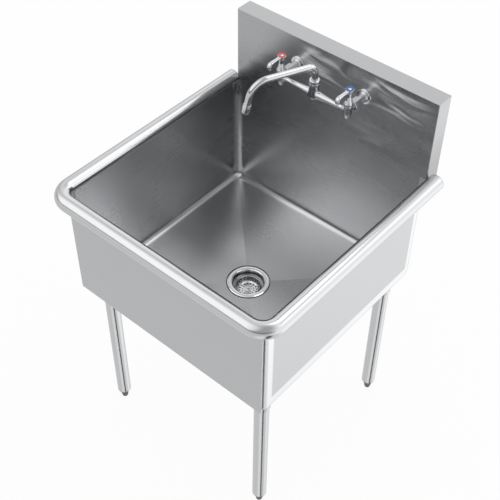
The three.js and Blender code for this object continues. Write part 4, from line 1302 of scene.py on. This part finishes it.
        line = contour(3, (9.9, 0, 0.5), (14.8, 0, 0.3), (17.6, 1.6, 0.3), (17.6, 6.4, 0.3),
                       (14.8, 8, 0.3), (9.9, 8, 0.5))
        self.nut(f"back_nut_{hand}", at, line, "zinc")

    def nut(self, node, at, line, finish):
        """A level nut from its front face backward, with six flats as far apart as its box."""
        size = high(node) - low(node)
        across = min(size[0], size[2])
        make(node, [turned(line, at + [0, low(node)[1], 0], BACKWARD, closed=True, segments=96,
                           shape=flats(across))], finish, sharp=28)


SPOUT_RADIUS, SPOUT_WALL = 0.008, 0.0013


class SINK_OT_spout(bpy.types.Operator):
    """Make the swing spout and its aerator"""
    bl_idname = "sink.spout"
    bl_label = "Spout"

    riser_bend: metres("Riser bend", "Radius of the bend above the hub", 0.020, 0.01, 0.03)
    end_bend: metres("End bend", "Radius of the bend towards the outlet", 0.050, 0.02, 0.08)
    run: metres("Run", "Level reach from the hub to the end bend", 0.1257, 0.08, 0.2)
    swing: degrees("Swing", "Turn to the left of straight ahead", 24)
    end_turn: degrees("End turn", "How far the end bends down", 78)

    def line(self, tail, extra):
        """The spout's line as (ahead, height) points: up, over, ahead and down.

        Each bend is an arc; the straight stretches are its tangents.
        """
        def ray(turn):
            return np.concatenate([np.cos(turn), np.sin(turn)], 1)

        top = high("spout")[2] - SPOUT_RADIUS
        riser = np.linspace(math.pi, math.pi / 2, 25)[:, None]
        end = np.linspace(math.pi / 2, math.pi / 2 - self.end_turn, 41)[:, None]
        rise = [self.riser_bend, top - self.riser_bend] + self.riser_bend * ray(riser)
        drop = [self.run, top - self.end_bend] + self.end_bend * ray(end)
        ahead = np.array([math.cos(self.end_turn), -math.sin(self.end_turn)])
        return np.concatenate([[[0, tail]], rise, drop, [drop[-1] + ahead * extra]]), ahead

    def execute(self, context):
        end_length, aerator_length = 0.0188, 0.0225
        hub = middle("spout_collar_nut") * [1, 1, 0]
        forward = np.array([-math.sin(self.swing), -math.cos(self.swing), 0])
        line, ahead = self.line(low("spout")[2], end_length + aerator_length / 2 - 0.001)
        tangent = np.gradient(line, axis=0)
        tangent /= np.linalg.norm(tangent, axis=1)[:, None]
        side = np.cross(forward, UP)
        origins = hub + line[:, :1] * forward + line[:, 1:] * np.array(UP)
        normal = -tangent[:, 1:] * forward + tangent[:, :1] * np.array(UP)
        angle = np.arange(64) * TAU / 64
        rows = [origins[:, None] + size * (np.cos(angle)[:, None] * side
                                           + np.sin(angle)[:, None] * normal[:, None])
                for size in (SPOUT_RADIUS, SPOUT_RADIUS - SPOUT_WALL)]
        grid = np.concatenate([rows[0], rows[1][::-1]])
        make("spout", [skin(grid, True, True)], "chrome", sharp=50)

        start = self.line(low("spout")[2], end_length)[0][-1]
        direction = ahead[0] * forward + ahead[1] * np.array(UP)
        at = hub + start[0] * forward + start[1] * np.array(UP)
        line_out = contour(4, (8.3, 0, 0.2), (9.4, 0, 0.4), (10, 0.8, 0.5), (10, 4.2, 0.3),
                           (9.5, 4.8, 0.2), (9.5, 5.4, 0.2), (10, 6, 0.3), (10, 20.6, 1),
                           (9.0, 22.5, 0.6), (7.4, 22.5, 0.4), (7.0, 20.4, 0.3), (6, 20.2, 0.2),
                           (6, 11.25, 0.2), (8.3, 11.25, 0.2))
        shells = [turned(line_out, at, direction, closed=True, segments=72),
                  self.screen(at, direction)]
        make("aerator", shells, "chrome", sharp=40)
        return {"FINISHED"}

    def screen(self, at, direction):
        """The outlet's stepped diffuser: rings that rise towards the middle."""
        line = [(0, 16.0), (5.95, 16.0)]
        for number, radius in enumerate((5.95, 4.9, 3.8, 2.7, 1.6)):
            height = 18.5 if number % 2 else 19.6
            line += [(radius, height), (radius - 0.45, height)]
        return turned(mm(*line, (0, 18.5)), at, direction, segments=48)


class SINK_OT_levers(bpy.types.Operator):
    """Make the lever handles with their index rings and screws"""
    bl_idname = "sink.levers"
    bl_label = "Lever handles"

    def execute(self, context):
        for hand in HANDS:
            place = valve_place(hand) + [0, 0, high(f"lever_handle_{hand}")[2] - 0.0006]
            self.handle(hand, place)
            self.index(hand, place)
        return {"FINISHED"}

    def blade(self, place):
        """The lever: super-ellipses |u|^2.6 + |v|^2.6 = 1 along a line that droops at its end.

        Its width narrows in the middle, and both ends close along a quarter ellipse.
        """
        line = contour(24, (-12, -2.9, 0), (48.6, -2.3, 13), (47.2, -20.6, 0))
        step = np.r_[0, np.cumsum(np.linalg.norm(np.diff(line, axis=0), axis=1))]
        share = np.linspace(0, math.pi, 61)
        stations = step[-1] * (1 - np.cos(share)) / 2
        ahead, height = np.interp(stations, step, line[:, 0]), np.interp(stations, step, line[:, 1])
        tangent = np.stack([np.gradient(ahead), np.gradient(height)], 1)
        tangent /= np.linalg.norm(tangent, axis=1)[:, None]
        part = stations / step[-1]
        ends = (np.sqrt(np.clip(1 - (1 - np.clip(part / 0.05, 0, 1)) ** 2, 0, 1))
                * np.sqrt(np.clip(1 - (1 - np.clip((1 - part) / 0.10, 0, 1)) ** 2, 0, 1)))
        half_width = (0.0060 - 0.0012 * np.sin(math.pi * np.clip(part / 0.8, 0, 1)) ** 2) * ends
        half_depth = (0.0026 + 0.0006 * smooth_step(part, 0.45, 0.8)
                      - 0.0012 * smooth_step(part, 0.85, 1.0)) * ends
        angle = np.arange(40) * TAU / 40
        power = 2 / 2.6
        u = np.sign(np.cos(angle)) * np.abs(np.cos(angle)) ** power
        v = np.sign(np.sin(angle)) * np.abs(np.sin(angle)) ** power
        x = half_width[:, None] * u
        a = ahead[:, None] - half_depth[:, None] * v * tangent[:, 1:]
        z = height[:, None] + half_depth[:, None] * v * tangent[:, :1]
        grid = np.stack([x, -a, z], -1) + place
        return skin(grid, False, True)

    def handle(self, hand, place):
        """Hub, neck and lever in one, with the recess for the index ring."""
        node = f"lever_handle_{hand}"
        hub = contour(5, (0, -9, 0), (5.8, -9, 0.4), (5.8, -5.6, 1), (8.6, -5, 1.6),
                      (10.6, -2.6, 1.2), (10.6, -0.4, 0.4), (10.2, 0, 0.2), (0, 0, 0))
        body = mesh_of(node, [turned(hub, place, segments=96)])
        body = carved(node, body, [[self.blade(place)]], "UNION")
        recess = turned(mm((0, -0.8), (9.9, -0.8), (9.9, 8), (0, 8)), place, segments=96)
        broach = turned(mm((0, -11), (4.3, -11), (4.3, -1.2), (0, -1.2)), place, segments=48)
        make(node, carved(node, body, [[recess], [broach]], "DIFFERENCE"), "chrome", sharp=34)

    def index(self, hand, place):
        """The coloured ring in the recess, and the domed screw in its middle."""
        line = contour(5, (4.7, -0.5, 0.1), (9.6, -0.5, 0.1), (9.6, 0.9, 0.4), (8.9, 1.5, 0.5),
                       (5.4, 1.5, 0.5), (4.7, 0.9, 0.4))
        make(f"index_disc_{hand}", [turned(line, place, closed=True)], hand)
        dome = contour(6, (0, -0.8, 0), (4.3, -0.8, 0.1), (4.3, 0.7, 0.5), (2.6, 1.4, 1.5),
                       (0, 1.5, 0))
        name = f"fine_index_screw_{hand}"
        screw = mesh_of(name, [turned(dome, place, segments=48)])
        points, faces = turned(mm((0, 0.9), (0.7, 0.9), (0.7, 3), (0, 3)), place, segments=4)
        stretch = [6.0, 1.0, 1.0]
        slot = ((points - place) * stretch + place, faces)
        make(None, carved(name, screw, [[slot]], "DIFFERENCE"), "chrome", name=name,
             body=f"{hand}_handle")


# ------------------------------------------------------------------ studio
WHITE = (1.0, 1.0, 1.0)
ROOM = 0.61
# Where each box stands, the cosines at which its edge starts and ends, and its brightness,
# which is below 0 for a box that takes light away.
SOFT_BOXES = {
    "right": ((0.82, 0.57, 0.0), 0.30, 0.85, 0.46),
    "right_ground": ((0.45, 0.50, -0.75), 0.60, 0.92, 0.16),
    "above_right": ((0.45, 0.53, 0.72), 0.80, 0.97, 0.35),
    "left": ((-0.45, -0.60, 0.66), 0.62, 0.96, 0.66),
    "back": ((-0.35, 0.75, 0.55), 0.70, 0.97, 0.42),
    "ground": ((-0.45, -0.53, -0.717), 0.30, 0.80, 0.08),
    "dark_front": ((0.45, -0.53, 0.72), 0.55, 0.88, -0.18),
    "corner": ((0.50, -0.42, -0.75), 0.86, 0.96, 0.22),
}


def rays(shader):
    """Whether a ray comes from the camera, and whether it's a mirrored one."""
    paths = shader.node("LightPath").outputs()
    return paths[0], paths[3]


def world_light(shader):
    """White for the eye; a ring of soft boxes round a grey room for what the metal reflects.

    Each box is a smooth step of the cosine of the ray's angle from the box's middle. Four dark
    cards take light away: two level strips and two upright ones below the horizon.
    """
    direction = shader.node("TexCoord", output="Generated")
    eye, glossy = rays(shader)
    room = ROOM
    for towards, start, end, brightness in SOFT_BOXES.values():
        towards = np.array(towards) / np.linalg.norm(towards)
        facing = shader.node("VectorMath", {"operation": "DOT_PRODUCT"},
                             {0: direction, 1: tuple(towards)}, output=1)
        room = room + shader.step(facing, start, end) * brightness

    def strip(value, centre, flat, soft):
        """1 within `flat` of the centre and 0 past `flat + soft`."""
        return shader.step(shader.absolute(value - centre), flat + soft, flat)

    x, y, z = shader.parts(direction)
    azimuth = shader.math("ARCTAN2", y, x)
    low_down = shader.step(z, -0.40, -0.55)
    cards = ((strip(z, 0.16, 0.06, 0.06) * shader.step(y, 0.0, -0.35), 0.75),
             (strip(z, 0.74, 0.03, 0.08) * shader.step(y, 0.20, 0.40), 0.34),
             (strip(azimuth, math.radians(-27), 0.12, 0.12) * low_down, 0.95),
             (strip(azimuth, math.radians(-4), 0.25, 0.30) * low_down, 0.24))
    shadow = 0.0
    for card, darkness in cards:
        shadow = shader.math("MAXIMUM", shadow, card * darkness)
    room = room * (1 - shadow)
    strength = eye + (1 - eye) * between(glossy, room, settings().studio.sky)
    light = shader.node("Background", {}, {"Color": WHITE, "Strength": strength})
    shader.node("OutputWorld", {}, {"Surface": light})


def floor_surface(shader):
    """Pale floor that shows white but keeps the sink's soft shadow.

    The metal looks through it at the studio's surroundings.
    """
    eye, glossy = rays(shader)
    fibres = shader.noise(shader.place(), (40, 40, 1), detail=3)
    matt = shader.node("BsdfDiffuse", {}, {"Color": shader.grey(0.84 + fibres * 0.02)})
    glow = shader.node("Emission", {}, {"Color": WHITE, "Strength": 1.0})
    clear = shader.node("BsdfTransparent")
    glow_share = 0.93
    seen = shader.node("MixShader", {}, {0: eye * glow_share, 1: matt, 2: glow})
    surface = shader.node("MixShader", {}, {0: glossy, 1: seen, 2: clear})
    shader.node("OutputMaterial", {}, {"Surface": surface})


class SINK_OT_studio(bpy.types.Operator):
    """Set the floor, the soft light and the camera"""
    bl_idname = "sink.studio"
    bl_label = "Studio"

    def execute(self, context):
        scene = context.scene
        scene.view_settings.view_transform = "Standard"
        self.floor()
        world = bpy.data.worlds.new("studio_sky")
        world_light(Shader(world))
        world.cycles.sampling_method = "NONE"
        scene.world = world
        self.lamp(scene)
        self.camera(scene)
        return {"FINISHED"}

    def floor(self):
        reach = 12.0
        outline = np.array([[-reach, -reach], [reach, -reach], [reach, reach], [-reach, reach]])
        mesh = bpy.data.meshes.new("studio_floor")
        mesh.from_pydata(np.column_stack([outline, np.zeros(4)]).tolist(), [], [(0, 1, 2, 3)])
        mesh.materials.append(material("studio_floor", floor_surface))
        floor = bpy.data.objects.new("studio_floor", mesh)
        bpy.context.scene.collection.objects.link(floor)

    def lamp(self, scene):
        """A square softbox behind the sink and above it, turned towards the bowl."""
        data = bpy.data.lights.new("key", "AREA")
        data.size = 1.0
        data.energy = 4.0
        lamp = bpy.data.objects.new("key", data)
        place = np.array([0.3, 0.9, 2.9])
        back = place - middle("bowl_shell")
        lamp.matrix_world = looking(place, back / np.linalg.norm(back), 0.0)
        scene.collection.objects.link(lamp)

    def camera(self, scene):
        studio = settings().studio
        data = bpy.data.cameras.new("photo_camera")
        data.lens = studio.lens
        data.sensor_width = 36.0
        data.clip_end = 100.0
        camera = bpy.data.objects.new("photo_camera", data)
        azimuth, elevation = studio.azimuth, studio.elevation
        back = np.array([math.sin(azimuth) * math.cos(elevation),
                         -math.cos(azimuth) * math.cos(elevation), math.sin(elevation)])
        camera.matrix_world = looking(np.array(studio.camera), back, studio.roll)
        scene.collection.objects.link(camera)
        scene.camera = camera


def looking(place, back, roll):
    """The matrix of a thing at a place with its back towards a direction."""
    right = np.cross(UP, back)
    right /= np.linalg.norm(right)
    up = np.cross(back, right)
    turned_right = math.cos(roll) * right + math.sin(roll) * up
    turned_up = -math.sin(roll) * right + math.cos(roll) * up
    matrix = np.eye(4)
    matrix[:3, :3] = np.stack([turned_right, turned_up, back], 1)
    matrix[:3, 3] = place
    return Matrix(matrix.tolist())


# ------------------------------------------------------------------ panel and running
PIECES = (SINK_OT_bowl, SINK_OT_rim, SINK_OT_sheets, SINK_OT_legs, SINK_OT_drain,
          SINK_OT_faucet, SINK_OT_spout, SINK_OT_levers, SINK_OT_studio)


class SINK_PT_pieces(bpy.types.Panel):
    """Lists the sink's pieces and settings"""
    bl_idname = "SINK_PT_pieces"
    bl_label = "Utility sink"
    bl_space_type = "VIEW_3D"
    bl_region_type = "UI"
    bl_category = "Utility sink"

    def draw(self, context):
        for piece in PIECES:
            self.layout.operator(piece.bl_idname)
        for group in (settings().sheet, settings().finish, settings().studio):
            box = self.layout.box()
            for name in group.__annotations__:
                box.prop(group, name)


CLASSES = (SinkSheetSettings, SinkFinishSettings, SinkStudioSettings, SinkSettings, *PIECES,
           SINK_PT_pieces)


def register():
    for item in CLASSES:
        bpy.utils.register_class(item)
    bpy.types.Scene.utility_sink = bpy.props.PointerProperty(type=SinkSettings)


def unregister():
    del bpy.types.Scene.utility_sink
    for item in reversed(CLASSES):
        bpy.utils.unregister_class(item)


def main():
    register()
    for piece in PIECES:
        group, name = piece.bl_idname.split(".")
        getattr(getattr(bpy.ops, group), name)()


if __name__ == "__main__":
    main()
